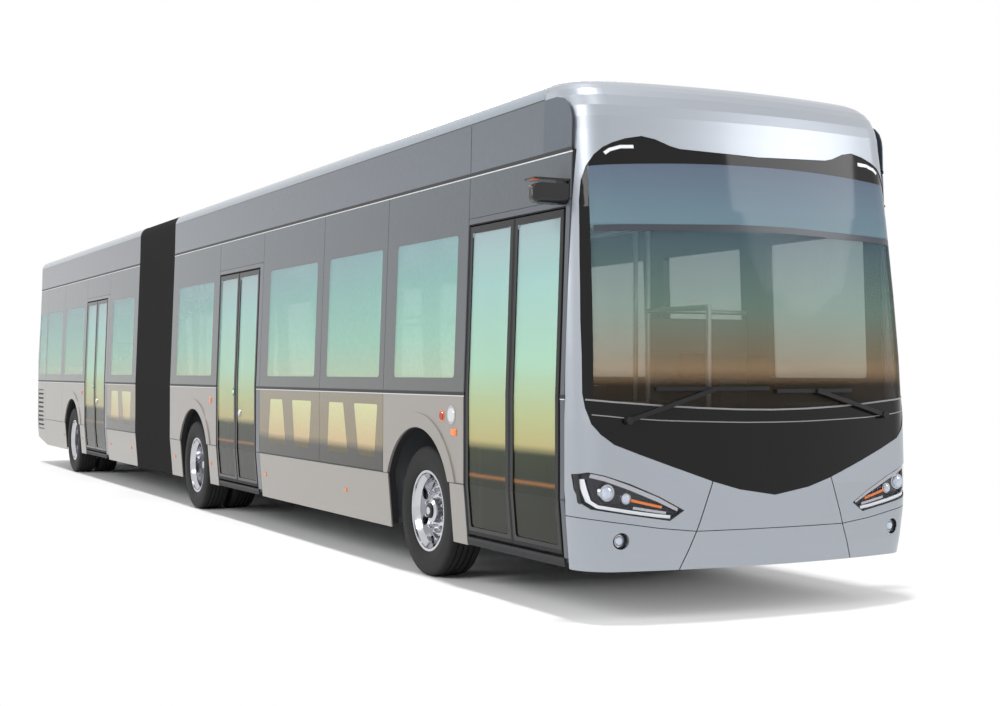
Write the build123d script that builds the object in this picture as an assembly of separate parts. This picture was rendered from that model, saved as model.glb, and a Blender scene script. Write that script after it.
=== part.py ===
# Articulated low-floor city bus, 18.73 m, three doors on the right-hand side.
# Millimetres. X forward, Y left, Z up; origin on the ground under the middle.
from math import cos, radians, sin, sqrt
import os

from build123d import *

# driving dimensions
CAP_X = 8960            # where the front cap meets the side walls
DOME_X = 8600           # where the front dome meets the roof
TAIL_X = -9100          # where the rear cap meets the side walls
FRONT_CAR_END, REAR_CAR_START = -420, -2140
PIVOT_X = -1280         # vertical axis of the articulation
ROOF_Z, SKIRT_Z, LOWER_Z, BELT_Z, COVE_Z = 3330, 310, 727, 1350, 2857
FLOOR_Z, FLOOR_T = 370, 30
CEILING_Z = 2640
SKIN, WALL = 10, 60     # outer panels, and panels plus wall frame
AXLES = {"front": 6740, "middle": 600, "rear": -6200}
TYRE_R, TYRE_W, RIM_R, BEAD_R = 478, 275, 298, 286
FRONT_TYRE_Y, TWIN_TYRE_Y = 1062, (1105, 790)
KINGPIN_Y = 850
STUB_R, STUB_END_Y, SPINDLE_R = 58, 1020, 42
RUNNING_GAP = 0.3
ARCH_R, ARCH_HALF, ARCH_TOP = 600, 560, 1095
FLARE = 10
WINDOW_Z = (1460, 2455)
DOOR_Z = (392, 2495)
DOOR_HEAD_Z = 2555
DOOR_GAP, DOOR_MEET, LEAF_T = 20, 6, 35
ARM, SHAFT_Y = 380, -1135

# height -> half width of the body, and height -> nose position on the centre line
SIDE_Y = ((SKIRT_Z, 1230), (730, 1265), (BELT_Z, 1265), (COVE_Z, 1212), (3200, 1205))
NOSE_X = ((SKIRT_Z, 9325), (420, 9345), (600, 9362), (800, 9365), (1200, 9352),
          (1600, 9330), (2000, 9295), (2500, 9240), (2980, 9170))
TAIL_TABLE = ((SKIRT_Z, 9330), (600, 9365), (1700, 9355), (2370, 9285), (3030, 9262))
ROOF_EDGE_R, ROOF_EDGE_Z = 130, 3200
DOME_R = 350

# doorways on the right-hand side: name, rear edge x, front edge x
DOORWAYS = (("door_1", 7545, 8905), ("door_2", 1490, 2850), ("door_3", -5295, -3935))
# clear windows: rear edge x, front edge x
FRONT_WINDOWS_RIGHT = ((-155, 1270), (3185, 4490), (4800, 5980), (6290, 7370))
FRONT_WINDOWS_LEFT = FRONT_WINDOWS_RIGHT + ((1620, 2850), (7700, 8800))
REAR_WINDOWS_RIGHT = ((-3575, -2355), (-6865, -5475), (-8400, -7150), (-9050, -8470))
REAR_WINDOWS_LEFT = REAR_WINDOWS_RIGHT + ((-5180, -3900),)
# bonded glazing panels: rear edge x, front edge x
FRONT_PANES = ((-420, 1480), (2960, 4640), (4640, 6080), (6080, 7535))
FRONT_PANES_LEFT = FRONT_PANES + ((1480, 2960), (7535, 8960))
REAR_PANES = ((-3800, -2140), (-6990, -5310), (-8435, -6990), (-9100, -8435))
REAR_PANES_LEFT = REAR_PANES + ((-5310, -3800),)
# glazed panels below the belt: rear edge x, front edge x
LOW_PANES_FRONT = ((2960, 4640), (4640, 6080))
LOW_PANES_REAR = ((-3800, -2140),)
# low windows: x of bottom rear, bottom front, top front, top rear
LOW_WINDOWS_FRONT = ((3230, 3740, 3640, 3300), (3990, 4370, 4430, 3920),
                     (4840, 5320, 5210, 4880), (5560, 5900, 5960, 5460))
LOW_WINDOWS_REAR = ((-3550, -3070, -3130, -3500), (-2800, -2440, -2390, -2900))
LOW_WINDOW_Z = (832, 1247)
CROWN_R = 4854          # plan radius of the windscreen
POD_REACH = 1460        # half width over the camera wings
VENT = (-9070, -8600, 560, 1210)    # rear air outlet: x, x, z, z
SLATS = 9
PLATFORM_X, PLATFORM_Z = -8420, 500
GAP = 6                 # shut line between outer panels

os.makedirs("parts", exist_ok=True)


def table(rows, z):
    for (z0, v0), (z1, v1) in zip(rows, rows[1:]):
        if z <= z1:
            return v0 + (v1 - v0) * (z - z0) / (z1 - z0)
    return rows[-1][1]


def side_y(z, inset=0):
    if z > ROOF_EDGE_Z:
        r = ROOF_EDGE_R - inset
        return SIDE_Y[-1][1] - ROOF_EDGE_R + sqrt(max(r * r - (z - ROOF_EDGE_Z) ** 2, 0))
    return table(SIDE_Y, z) - inset


def nose_x(z, inset=0):
    z_dome, x_dome = NOSE_X[-1]
    if z > z_dome:
        r = DOME_R - inset
        return x_dome - DOME_R + sqrt(max(r * r - (z - z_dome) ** 2, 0))
    return table(NOSE_X, z) - inset


def tail_x(z, inset=0):
    z_roof, x_roof = TAIL_TABLE[-1]
    if z > z_roof:
        return x_roof - inset - (z - z_roof) * 0.12
    return table(TAIL_TABLE, z) - inset


def box(x0, x1, y0, y1, z0, z1):
    return Pos((x0 + x1) / 2, (y0 + y1) / 2, (z0 + z1) / 2) * Box(x1 - x0, y1 - y0, z1 - z0)


def rod(x, y, z0, z1, r):
    return Pos(x, y, (z0 + z1) / 2) * Cylinder(r, z1 - z0)


def cross_rod(x, y0, y1, z, r):
    return Pos(x, (y0 + y1) / 2, z) * Rot(90, 0, 0) * Cylinder(r, abs(y1 - y0))


def along_x(face, x0, x1):
    plane = Plane((x0, 0, 0), x_dir=(0, 1, 0), z_dir=(1, 0, 0))
    return extrude(plane * face, amount=x1 - x0, dir=(1, 0, 0))


def along_y(face, y0, y1):
    plane = Plane((0, y0, 0), x_dir=(1, 0, 0), z_dir=(0, -1, 0))
    return extrude(plane * face, amount=y1 - y0, dir=(0, 1, 0))


def along_z(face, z0, z1):
    return extrude(Pos(0, 0, z0) * face, amount=z1 - z0, dir=(0, 0, 1))


def polygon(points):
    return make_face(Polyline(*points, close=True))


def mirror_y(shape):
    return mirror(shape, about=Plane.XZ)


def group(shapes):
    solids = []
    for shape in shapes:
        solids += shape.solids()
    return Compound(solids)


def save(name, shape):
    export_step(shape, f"parts/{name}.step")
    print(name, len(shape.solids()), "solids", round(shape.volume / 1e6), "cm3")


def body_face(z0, z1, inset=0):
    """Section across the bus between two heights, offset inwards by inset."""
    top = min(z1, ROOF_EDGE_Z)
    heights = [z0] + [z for z, _ in SIDE_Y if z0 < z < top] + [top]
    left = [(side_y(z, inset), z) for z in heights]
    right = [(-y, z) for y, z in reversed(left)]
    if z1 <= ROOF_EDGE_Z:
        return polygon(left + right)
    r = ROOF_EDGE_R - inset
    c = SIDE_Y[-1][1] - ROOF_EDGE_R
    s = r * sqrt(0.5)
    edge = (c + r, ROOF_EDGE_Z)
    middle = (c + s, ROOF_EDGE_Z + s)
    crown = (c, ROOF_EDGE_Z + r)

    def other(p):
        return -p[0], p[1]

    lines = Polyline(*right, *left)
    lines += ThreePointArc(edge, middle, crown)
    lines += Line(crown, other(crown))
    lines += ThreePointArc(other(crown), other(middle), other(edge))
    return make_face(lines)


def skin_face(z0, z1, inset0, inset1):
    """Section of one right-hand wall layer between two insets."""
    heights = [z0] + [z for z, _ in SIDE_Y if z0 < z < z1] + [z1]
    outer = [(-side_y(z, inset0), z) for z in heights]
    inner = [(-side_y(z, inset1), z) for z in reversed(heights)]
    return polygon(outer + inner)


def plan_wire(z, x_back, x_tip, half, radius, crown_r):
    """Closed plan section: straight back, sides, round corners and a crowned end."""
    yc = half - radius
    cx = x_tip - crown_r
    xc = cx + sqrt((crown_r - radius) ** 2 - yc ** 2)
    ux, uy = (xc - cx) / (crown_r - radius), yc / (crown_r - radius)
    start = (cx + crown_r * ux, crown_r * uy)
    # middle of the corner arc, half way between the crown direction and the side
    mx, my = ux, uy + 1
    length = sqrt(mx * mx + my * my)
    mid = (xc + radius * mx / length, yc + radius * my / length)
    end = (xc, half)
    edges = [
        Line((x_back, -half), (x_back, half)),
        Line((x_back, half), end),
        ThreePointArc(end, mid, start),
        ThreePointArc(start, (x_tip, 0), (start[0], -start[1])),
        ThreePointArc((start[0], -start[1]), (mid[0], -mid[1]), (end[0], -half)),
        Line((end[0], -half), (x_back, -half)),
    ]
    return Pos(0, 0, z) * Wire(edges)


def nose_solid(inset, z_low):
    """Front end as a ruled stack of plan sections, with the roof dome."""
    top = ROOF_Z - inset
    levels = [z_low] + [z for z, _ in NOSE_X if z > z_low]
    levels += [3060, 3130, ROOF_EDGE_Z, 3245, 3280, 3305]
    levels = [z for z in levels if z < top - 12] + [top - 10, top - 1]
    wires = []
    for z in levels:
        zz = max(z, SKIRT_Z)
        half = side_y(zz, inset)
        wires.append(plan_wire(z, DOME_X - 300, nose_x(zz, inset), half, 250 - inset, CROWN_R - inset))
    return Solid.make_loft(wires, ruled=True)


def tail_solid(inset, z_low):
    top = ROOF_Z - inset
    levels = [z_low] + [z for z, _ in TAIL_TABLE if z > z_low] + [ROOF_EDGE_Z, 3245, 3280, 3305]
    levels = [z for z in levels if z < top - 12] + [top - 10, top - 1]
    wires = []
    for z in levels:
        zz = max(z, SKIRT_Z)
        half = side_y(zz, inset)
        wire = plan_wire(z, -TAIL_X - 200, tail_x(zz, inset), half, 120 - inset * 0.5, 9000)
        wires.append(wire)
    return Rot(0, 0, 180) * Solid.make_loft(wires, ruled=True)


def arch_face(axle_x, grow=0):
    """Wheel arch outline in side view: round top, upright sides."""
    r, half, base = ARCH_R + grow, ARCH_HALF + grow, SKIRT_Z - 60
    zc = ARCH_TOP - ARCH_R
    z_side = zc + sqrt(r * r - half * half)
    lines = Polyline((axle_x - half, z_side), (axle_x - half, base),
                     (axle_x + half, base), (axle_x + half, z_side))
    lines += ThreePointArc((axle_x + half, z_side), (axle_x, zc + r), (axle_x - half, z_side))
    return make_face(lines)


# glazed mask seen from the front, one half: y, z from the top centre round to the lower tip
MASK_HALF = ((0, 2852), (420, 2866), (560, 2872), (625, 2887), (723, 2925), (810, 2941),
             (917, 2921), (1000, 2893), (1061, 2862), (1110, 2818), (1151, 2750), (1177, 2660),
             (1190, 2539), (1205, 2175), (1218, 1818), (1226, 1375), (1218, 1286),
             (1195, 1190), (1151, 1127), (1081, 1069), (922, 1007), (733, 938),
             (442, 836), (261, 785), (0, 744))
LAMP_HALF = ((1262, 889), (1212, 905), (1140, 888), (987, 836), (799, 755), (640, 670),
             (733, 609), (987, 648), (1200, 684), (1240, 720), (1258, 800))
SPLIT_Z, SPLIT_Y = 541, 555
SPLIT_LINE = ((SPLIT_Y, SPLIT_Z), (796, 566), (1000, 597), (1159, 620), (1300, 640))
FOG_Y, FOG_Z, FOG_R = 1034, 495, 50


def both_halves(half):
    mirrored = [(-y, z) for y, z in reversed(half) if y]
    return polygon(list(half) + mirrored)


def strip(points, width):
    """Thin closed band that follows a row of points in front view."""
    upper = [(y, z + width / 2) for y, z in points]
    lower = [(y, z - width / 2) for y, z in reversed(points)]
    return polygon(upper + lower)


def front_end():
    shell = nose_solid(0, SKIRT_Z) - nose_solid(40, SKIRT_Z - 80)
    keep = box(DOME_X, 9500, -1400, 1400, COVE_Z, 3400) + box(CAP_X, 9500, -1400, 1400, 0, COVE_Z)
    shell = shell & keep
    mask = along_x(both_halves(MASK_HALF), 8990, 9600)
    glass_zone = nose_solid(4, SKIRT_Z) - nose_solid(24, SKIRT_Z - 80)
    windscreen = glass_zone & mask
    cap = shell - mask
    # lower panels: a centre piece with two halves and a corner piece on each side
    base = SKIRT_Z - 20
    low_line = [(428, 900), (SPLIT_Y, SPLIT_Z), (660, base)]
    centre = polygon([(-y, z) for y, z in low_line] + [(y, z) for y, z in reversed(low_line)])
    centre_prism = along_x(centre, 8900, 9600)
    corner = polygon([(SPLIT_Y, SPLIT_Z), *SPLIT_LINE[1:], (1300, base), (660, base)])
    corner_prism = along_x(corner, 8900, 9600) + along_x(mirror(corner, about=Plane.YZ), 8900, 9600)
    shut = GAP * 0.8
    cuts = [strip(SPLIT_LINE, shut), strip([(0, SPLIT_Z), (SPLIT_Y, SPLIT_Z)], shut)]
    side_cut = polygon([(424, 900), (432, 900), (SPLIT_Y + 4, SPLIT_Z),
                        (664, base), (656, base), (SPLIT_Y - 4, SPLIT_Z)])
    cuts.append(side_cut)
    grooves = []
    for face in cuts:
        grooves += [along_x(face, 8900, 9600), along_x(mirror(face, about=Plane.YZ), 8900, 9600)]
    lamp = along_x(polygon(LAMP_HALF), 8990, 9600)
    lamp = lamp + mirror_y(lamp)
    fogs = along_x(Pos(FOG_Y, FOG_Z) * Circle(FOG_R), 8990, 9600)
    fogs = fogs + mirror_y(fogs)
    lower = cap & (centre_prism + corner_prism)
    lower = lower - grooves - fogs
    cap = cap - (centre_prism + corner_prism) - grooves - lamp
    save("front_cap", group([max(cap.solids(), key=lambda s: s.volume)]))
    save("nose_panels", group([s for s in lower.solids() if s.volume > 1e5]))
    save("windscreen", group([max(windscreen.solids(), key=lambda s: s.volume)]))
    lamp_zone = nose_solid(8, SKIRT_Z) - nose_solid(40, SKIRT_Z - 80)
    lamps = (lamp_zone & along_x(polygon(LAMP_HALF), 8990, 9600)).solids()
    lamps = [max(lamps, key=lambda s: s.volume)]
    fog = Pos(nose_x(FOG_Z) - 155, FOG_Y, FOG_Z) * Rot(0, 90, 0) * Cylinder(FOG_R, 60)
    lamps.append(fog & nose_solid(6, SKIRT_Z))
    save("front_lamps", group(lamps + [mirror_y(lamp) for lamp in lamps]))
    liner = nose_solid(40, SKIRT_Z) - nose_solid(70, SKIRT_Z - 80)
    liner = liner & box(CAP_X, 9500, -1190, 1190, SKIRT_Z + 22, 720)
    liner = liner - fogs
    save("nose_frame", liner)


def crown_ring(z_table, z0, z1, off0, off1):
    """Part of a ring that follows the crown of the windscreen at one height."""
    centre = nose_x(z_table) - CROWN_R
    ring = rod(centre, 0, z0, z1, CROWN_R + off1) - rod(centre, 0, z0 - 5, z1 + 5, CROWN_R + off0)
    return ring & box(9100, 9500, -1400, 1400, z0 - 1, z1 + 1)


def wipers():
    # pivot y, z, blade inner y, outer y, blade z; right-hand wiper first
    rows = ((-1000, 1212, -820, -40, 1400), (940, 1225, 640, 20, 1384))
    out = []
    for pivot_y, pivot_z, blade_a, blade_b, blade_z in rows:
        x_pivot = nose_x(pivot_z) - CROWN_R + sqrt(CROWN_R ** 2 - pivot_y ** 2)
        middle = (blade_a + blade_b) / 2
        hub = Pos(x_pivot + 20.3, pivot_y, pivot_z) * Rot(0, 90, 0) * Cylinder(24, 38)
        bar = along_x(strip_along(((pivot_y, pivot_z), (middle, blade_z)), 26), 9100, 9500)
        arm = crown_ring(1300, pivot_z - 30, blade_z + 30, 10, 32) & bar
        span = box(9100, 9500, *sorted((blade_a, blade_b)), blade_z - 12, blade_z + 12)
        blade = crown_ring(blade_z, blade_z - 12, blade_z + 12, -3, 20) & span
        out.append(hub + arm + blade)
    save("wipers", group(out))


def strip_along(points, width):
    """Straight bar between two points in a plane, as a face."""
    (a, b), (c, d) = points
    length = sqrt((c - a) ** 2 + (d - b) ** 2)
    nx, ny = -(d - b) / length * width / 2, (c - a) / length * width / 2
    return polygon([(a + nx, b + ny), (c + nx, d + ny), (c - nx, d - ny), (a - nx, b - ny)])


def camera_pods():
    """Camera wing on each side: rounded pod under a thin blade; the left one stands further back."""
    x0, x1 = 8825, 8948
    pod = box(x0, x1, -POD_REACH, -1180, 2520, 2643)
    outer = [e for e in pod.edges() if e.center().Y < -POD_REACH + 1 or abs(e.center().Z - 2520) < 1]
    pod = fillet(outer, 44)
    neck = box(x0 + 20, x1 - 20, -1260, -1180, 2635, 2664)
    blade = box(x0 - 5, x1, -POD_REACH - 5, -1180, 2660, 2674)
    wing = (pod + neck + blade) - along_x(body_face(2400, 2800), 8700, 9000)
    save("camera_pods", group([wing, Pos(-260, 0, 0) * mirror_y(wing)]))


def window_cutters(windows, z_range, y_sign):
    z0, z1 = z_range
    cutters = []
    for x0, x1 in windows:
        face = Pos((x0 + x1) / 2, (z0 + z1) / 2) * RectangleRounded(x1 - x0, z1 - z0, 35)
        cutters.append(along_y(face, -1400, -1000) if y_sign < 0 else along_y(face, 1000, 1400))
    return cutters


def low_window_cutters(windows, y_sign):
    z0, z1 = LOW_WINDOW_Z
    cutters = []
    for bottom_rear, bottom_front, top_front, top_rear in windows:
        face = polygon([(bottom_rear, z0), (bottom_front, z0), (top_front, z1), (top_rear, z1)])
        cutters.append(along_y(face, -1400, -1000) if y_sign < 0 else along_y(face, 1000, 1400))
    return cutters


def arch_cutters(axles):
    return [along_y(arch_face(x), -1400, 1400) for x in axles]


def doorway_cutters(doors):
    return [box(x0, x1, -1400, -1000, 0, DOOR_Z[1] + 12) for _, x0, x1 in doors]


def side_walls(name, x0, x1, axles, doors, right, left, low):
    face = skin_face(FLOOR_Z - FLOOR_T, COVE_Z, SKIN, WALL)
    wall_right = along_x(face, x0, x1)
    wall_left = mirror_y(wall_right)
    arches = arch_cutters(axles)
    wall_right = wall_right - window_cutters(right, WINDOW_Z, -1) - arches - doorway_cutters(doors)
    wall_right = wall_right - low_window_cutters(low, -1)
    wall_left = wall_left - window_cutters(left, WINDOW_Z, 1) - arches
    wall_left = wall_left - low_window_cutters(low, 1)
    for _, d0, d1 in doors:
        wall_right += along_x(skin_face(SKIRT_Z + 5, FLOOR_Z, 0, WALL), d0, d1)
    walls = [wall_right, wall_left]
    if x0 < -9000:
        walls = [wall - tail_wedge() for wall in walls]
    save(name, group(walls))


def layer(x0, x1, z0, z1, side, inset0=0, inset1=SKIN):
    solid = along_x(skin_face(z0, z1, inset0, inset1), x0, x1)
    return solid if side < 0 else mirror_y(solid)


def glazing(right, left, headers, low):
    half = GAP / 2
    out = []
    for x0, x1 in right:
        out.append(layer(x0 + half, x1 - half, BELT_Z + 12, COVE_Z - 12, -1))
    for x0, x1 in left:
        out.append(layer(x0 + half, x1 - half, BELT_Z + 12, COVE_Z - 12, 1))
    for x0, x1 in headers:
        out.append(layer(x0 + half, x1 - half, DOOR_HEAD_Z, COVE_Z - 12, -1))
    for x0, x1 in low:
        for side in (-1, 1):
            out.append(layer(x0 + half, x1 - half, LOWER_Z + 6, BELT_Z - 12, side))
    return out


def arch_panel(x0, x1, axle_x, side):
    """Panel round a wheel arch from the lower line to the belt, with its raised flare."""
    panel = layer(x0, x1, LOWER_Z + 3, BELT_Z - 12, side)
    ring = along_y(arch_face(axle_x, 105), 0, 1400) - along_y(arch_face(axle_x), -10, 1410)
    flare = layer(x0 + 30, x1 - 30, LOWER_Z + 3, BELT_Z - 40, 1, -FLARE, SKIN) & ring
    cut = along_y(arch_face(axle_x), 0, 1400)
    if side < 0:
        flare, cut = mirror_y(flare), mirror_y(cut)
    return panel - cut + flare


def lower_panels(arches, skirts):
    out = []
    half = GAP / 2
    for side in (-1, 1):
        for x0, x1, axle_x in arches[side]:
            out.append(arch_panel(x0 + half, x1 - half, axle_x, side))
        for x0, x1 in skirts[side]:
            out.append(layer(x0 + half, x1 - half, SKIRT_Z, LOWER_Z - 3, side))
    return out


def tail_wedge():
    """Everything under the rising lower edge behind the rear axle."""
    return along_y(polygon([(-9600, 0), (-9600, 480), (-8410, SKIRT_Z), (-8410, 0)]), -1400, 1400)


def vent_panel(side):
    """Rear corner panel with a louvred air outlet."""
    panel = layer(TAIL_X + 3, -8438, SKIRT_Z, BELT_Z - 12, side) - tail_wedge()
    x0, x1, z0, z1 = VENT
    panel = panel - box(x0, x1, -1400, 1400, z0, z1)
    pitch = (z1 - z0) / SLATS
    for k in range(SLATS):
        z = z0 + (k + 0.2) * pitch
        panel += layer(x0 - 5, x1 + 5, z, z + 0.6 * pitch, side, 3, SKIN)
    return panel


def roof(name, x0, x1):
    ceiling = side_y(COVE_Z, WALL)
    shell = along_x(body_face(COVE_Z, ROOF_Z), x0, x1)
    shell += box(x0, x1, -ceiling, ceiling, CEILING_Z, COVE_Z + 60)
    hollow = along_x(body_face(COVE_Z + 60, ROOF_Z - 35, 35), x0 + 40, x1 - 40)
    hollow += box(x0 + 40, x1 - 40, -ceiling + 30, ceiling - 30, CEILING_Z + 30, COVE_Z + 70)
    save(name, shell - hollow)


def wheel_box(axle_x, inner_y, x_lo, x_hi):
    outer = box(axle_x - 630, axle_x + 630, inner_y - 20, 1400, FLOOR_Z - FLOOR_T, ARCH_TOP + 35)
    return outer & along_x(body_face(FLOOR_Z - FLOOR_T, 2600, WALL), x_lo, x_hi)


def floor(name, x0, x1, boxes, extra=None):
    plate = along_x(body_face(FLOOR_Z - FLOOR_T, FLOOR_Z, WALL), x0, x1)
    if extra:
        plate += extra
    for axle_x, inner_y in boxes:
        shell = wheel_box(axle_x, inner_y, x0, x1)
        plate += shell + mirror_y(shell)
    for axle_x, inner_y in boxes:
        room = box(axle_x - 612, axle_x + 612, inner_y, 1400, 0, ARCH_TOP + 15)
        plate = plate - room - mirror_y(room)
    save(name, plate)


def gangway_plate(sign):
    """Floor plate that reaches from one car to the turning disc."""
    end = 860
    r = 576
    edge = (r * cos(radians(60)), r * sin(radians(60)))
    face = polygon([(end, -560), (end, 560), (323, 560), edge, (edge[0] * 0.5, edge[1] * 0.5),
                    (edge[0] * 0.5, -edge[1] * 0.5), (edge[0], -edge[1]), (323, -560)])
    plate = along_z(face, FLOOR_Z - FLOOR_T, FLOOR_Z) - rod(0, 0, 0, 500, r)
    if sign < 0:
        plate = Rot(0, 0, 180) * plate
    return Pos(PIVOT_X, 0, 0) * plate


RAIL_Y, RAIL_W, RAIL_Z = 420, 90, (300, 338)
PIN_R = 60


def frame(spans, cross, arm_sign):
    """Two long beams under the floor, cross members, and one half of the pivot."""
    z0, z1 = RAIL_Z
    out = None
    for x0, x1 in spans:
        for y in (-RAIL_Y, RAIL_Y):
            beam = box(x0, x1, y - RAIL_W / 2, y + RAIL_W / 2, z0, FLOOR_Z - FLOOR_T)
            out = beam if out is None else out + beam
    for x in cross:
        out += box(x - 40, x + 40, -1100, 1100, z0 + 20, FLOOR_Z - FLOOR_T)
    if arm_sign > 0:
        arm = along_z(polygon([(900, -470), (900, 470), (0, 240), (0, -240)]), 200, 248)
        arm += rod(0, 0, 200, 248, 300)
        arm += box(780, 870, -470, 470, 200, FLOOR_Z - FLOOR_T)
        arm += rod(0, 0, 200, 339, PIN_R)
    else:
        arm = along_z(polygon([(-900, -470), (-900, 470), (0, 240), (0, -240)]), 252, 290)
        arm += rod(0, 0, 252, 290, 300)
        arm += box(-900, -860, -470, 470, 252, FLOOR_Z - FLOOR_T)
        arm = arm - rod(0, 0, 100, 400, PIN_R + RUNNING_GAP)
    out += Pos(PIVOT_X, 0, 0) * arm
    return out


def front_axle():
    """Dropped beam with a kingpin at each end."""
    x = AXLES["front"]
    half = [(600, 262), (664, 425), (770, 425), (770, 531), (640, 531), (566, 338)]
    beam = along_x(polygon([(-y, z) for y, z in reversed(half)] + half), x - 55, x + 55)
    for y in (-KINGPIN_Y, KINGPIN_Y):
        s = 1 if y > 0 else -1
        beam += box(x - 45, x + 45, min(s * 760, y), max(s * 760, y), 425, 531)
        beam += rod(x, y, 425, 531, 48)
        beam += rod(x, y, 380, 576, 20)
    save("axle_front", beam)


def knuckle(side):
    """Fork round the kingpin, with the stub axle and brake disc."""
    x, z = AXLES["front"], TYRE_R
    y = side * KINGPIN_Y
    body = rod(x, y, 534, 590, 45) + rod(x, y, 366, 422, 45)
    body = body - rod(x, y, 300, 640, 20.6)
    y_back = y + side * 52
    web0, web1 = sorted((y_back, y_back + side * 26))
    body += box(x - 45, x + 45, web0, web1, 366, 590)
    for z0, z1 in ((534, 590), (366, 422)):
        a, b = sorted((y + side * 30, y_back + side * 26))
        body += box(x - 45, x + 45, a, b, z0, z1)
    body = body - rod(x, y, 300, 640, 20.6)
    body += cross_rod(x, y_back, side * (FRONT_TYRE_Y + 60), z, SPINDLE_R)
    steer = box(x - 260, x - 30, *sorted((y + side * 20, y + side * 70)), 372, 398)
    body += steer
    save("knuckle_left" if side > 0 else "knuckle_right", body)


def rear_axle(name, x, motor):
    """Dropped portal axle: low beam, upright ends inside the wheel boxes, stub axles."""
    beam = box(x - 80, x + 80, -646, 646, 262, 338)
    for s in (-1, 1):
        y0, y1 = sorted((s * 605, s * 646))
        beam += box(x - 80, x + 80, y0, y1, 262, TYRE_R + 75)
        beam += cross_rod(x, s * 610, s * STUB_END_Y, TYRE_R, STUB_R)
    save(name, beam)
    if motor:
        save("drive_motor", box(x - 520, x - 80, -300, 300, 235, 338))


def tyre():
    """Tyre as a ring: beads, bulged side walls and a flat crown."""
    r, w = TYRE_R, TYRE_W / 2
    lines = Polyline((-100, r), (100, r))
    lines += ThreePointArc((100, r), (118, r - 8), (129, r - 28))
    lines += ThreePointArc((129, r - 28), (w, 385), (126, RIM_R + 8))
    lines += Polyline((126, RIM_R + 8), (112, RIM_R + 2), (112, BEAD_R), (-112, BEAD_R),
                      (-112, RIM_R + 2), (-126, RIM_R + 8))
    lines += ThreePointArc((-126, RIM_R + 8), (-w, 385), (-129, r - 28))
    lines += ThreePointArc((-129, r - 28), (-118, r - 8), (-100, r))
    ring = revolve(make_face(lines), axis=Axis.X)
    return Rot(0, 0, 90) * ring


def barrel_points():
    """Drop-centre rim as (across, radius), outer flange first."""
    outer = [(118, RIM_R), (112, RIM_R), (112, BEAD_R), (84, 284), (64, 262)]
    return outer + [(-60, 262), (-86, 284), (-112, BEAD_R), (-112, RIM_R), (-118, RIM_R)]


HOLE_CIRCLE, HOLE_R, HOLES = 214, 26, 10


def pierce(solid, across):
    hole = Pos(across, 0, HOLE_CIRCLE) * Rot(0, 90, 0) * Cylinder(HOLE_R, 120)
    return solid - [Rot(360 / HOLES * k, 0, 0) * hole for k in range(HOLES)]


def spin(points):
    return revolve(polygon(points), axis=Axis.X)


def front_wheel(side):
    """Disc wheel whose disc stands outwards, with a hub that runs on the spindle."""
    x = AXLES["front"]
    inner = [(-118, 276), (-70, 250), (-20, 250), (-8, 214), (14, 176), (14, 100), (-40, 96)]
    hub = [(-40, SPINDLE_R + RUNNING_GAP), (64, SPINDLE_R + RUNNING_GAP), (64, 0), (96, 0), (96, 62),
           (84, 86), (32, 96), (32, 180), (8, 222), (-2, 250), (66, 250), (104, 276), (118, 280)]
    solid = pierce(spin(barrel_points() + inner + hub), 0)
    solid = Rot(0, 0, 90 if side > 0 else -90) * solid
    name = "left" if side > 0 else "right"
    place = Pos(x, side * FRONT_TYRE_Y, TYRE_R)
    save(f"rim_front_{name}", place * solid)
    save(f"tyre_front_{name}", place * tyre())


def twin_wheel(axle, side):
    """Outer and inner wheel bolted together on one hub, the outer one dished inwards."""
    x = AXLES[axle]
    outer_y, inner_y = TWIN_TYRE_Y
    spacing = outer_y - inner_y
    mid = -spacing / 2
    bore = STUB_R + RUNNING_GAP
    closed = [(-118, 276), (-70, 250), (66, 250), (104, 276), (118, 280)]
    solid = spin(barrel_points() + closed)
    solid += Pos(-spacing, 0, 0) * spin([(-a, r) for a, r in reversed(barrel_points() + closed)])
    solid += spin([(mid - 2, 200), (mid - 2, bore), (-70, bore), (-70, 0), (30, 0), (30, 90), (mid + 30, 96),
                   (mid + 30, 190), (-50, 236), (20, 250), (20, 262), (-60, 262), (-88, 240)])
    solid += spin([(mid - 2, bore), (mid - 2, 205), (-spacing + 70, 252), (-spacing + 60, 262),
                   (-spacing + 20, 262), (-spacing + 20, 250), (mid - 34, 196), (mid - 34, bore)])
    solid = pierce(solid, mid + 20)
    solid = Rot(0, 0, 90 if side > 0 else -90) * solid
    name = "left" if side > 0 else "right"
    save(f"rim_{axle}_{name}", Pos(x, side * outer_y, TYRE_R) * solid)
    rings = [Pos(x, side * y, TYRE_R) * tyre() for y in TWIN_TYRE_Y]
    save(f"tyre_{axle}_{name}", group(rings))


LEAF_W = (DOORWAYS[0][2] - DOORWAYS[0][1] - 2 * DOOR_GAP - DOOR_MEET) / 2
# the pivot sits at the middle of the leaf, so the shaft stands just outside the doorway
SHAFT_SET_IN = LEAF_W / 2 - ARM
# the arms pass under and over the leaf, whose lugs lie just inside its edges
ARM_Z = ((375.5, 386), (2500.5, 2512))
LUG_Z = ((397, 411), (2468, 2484))


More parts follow.
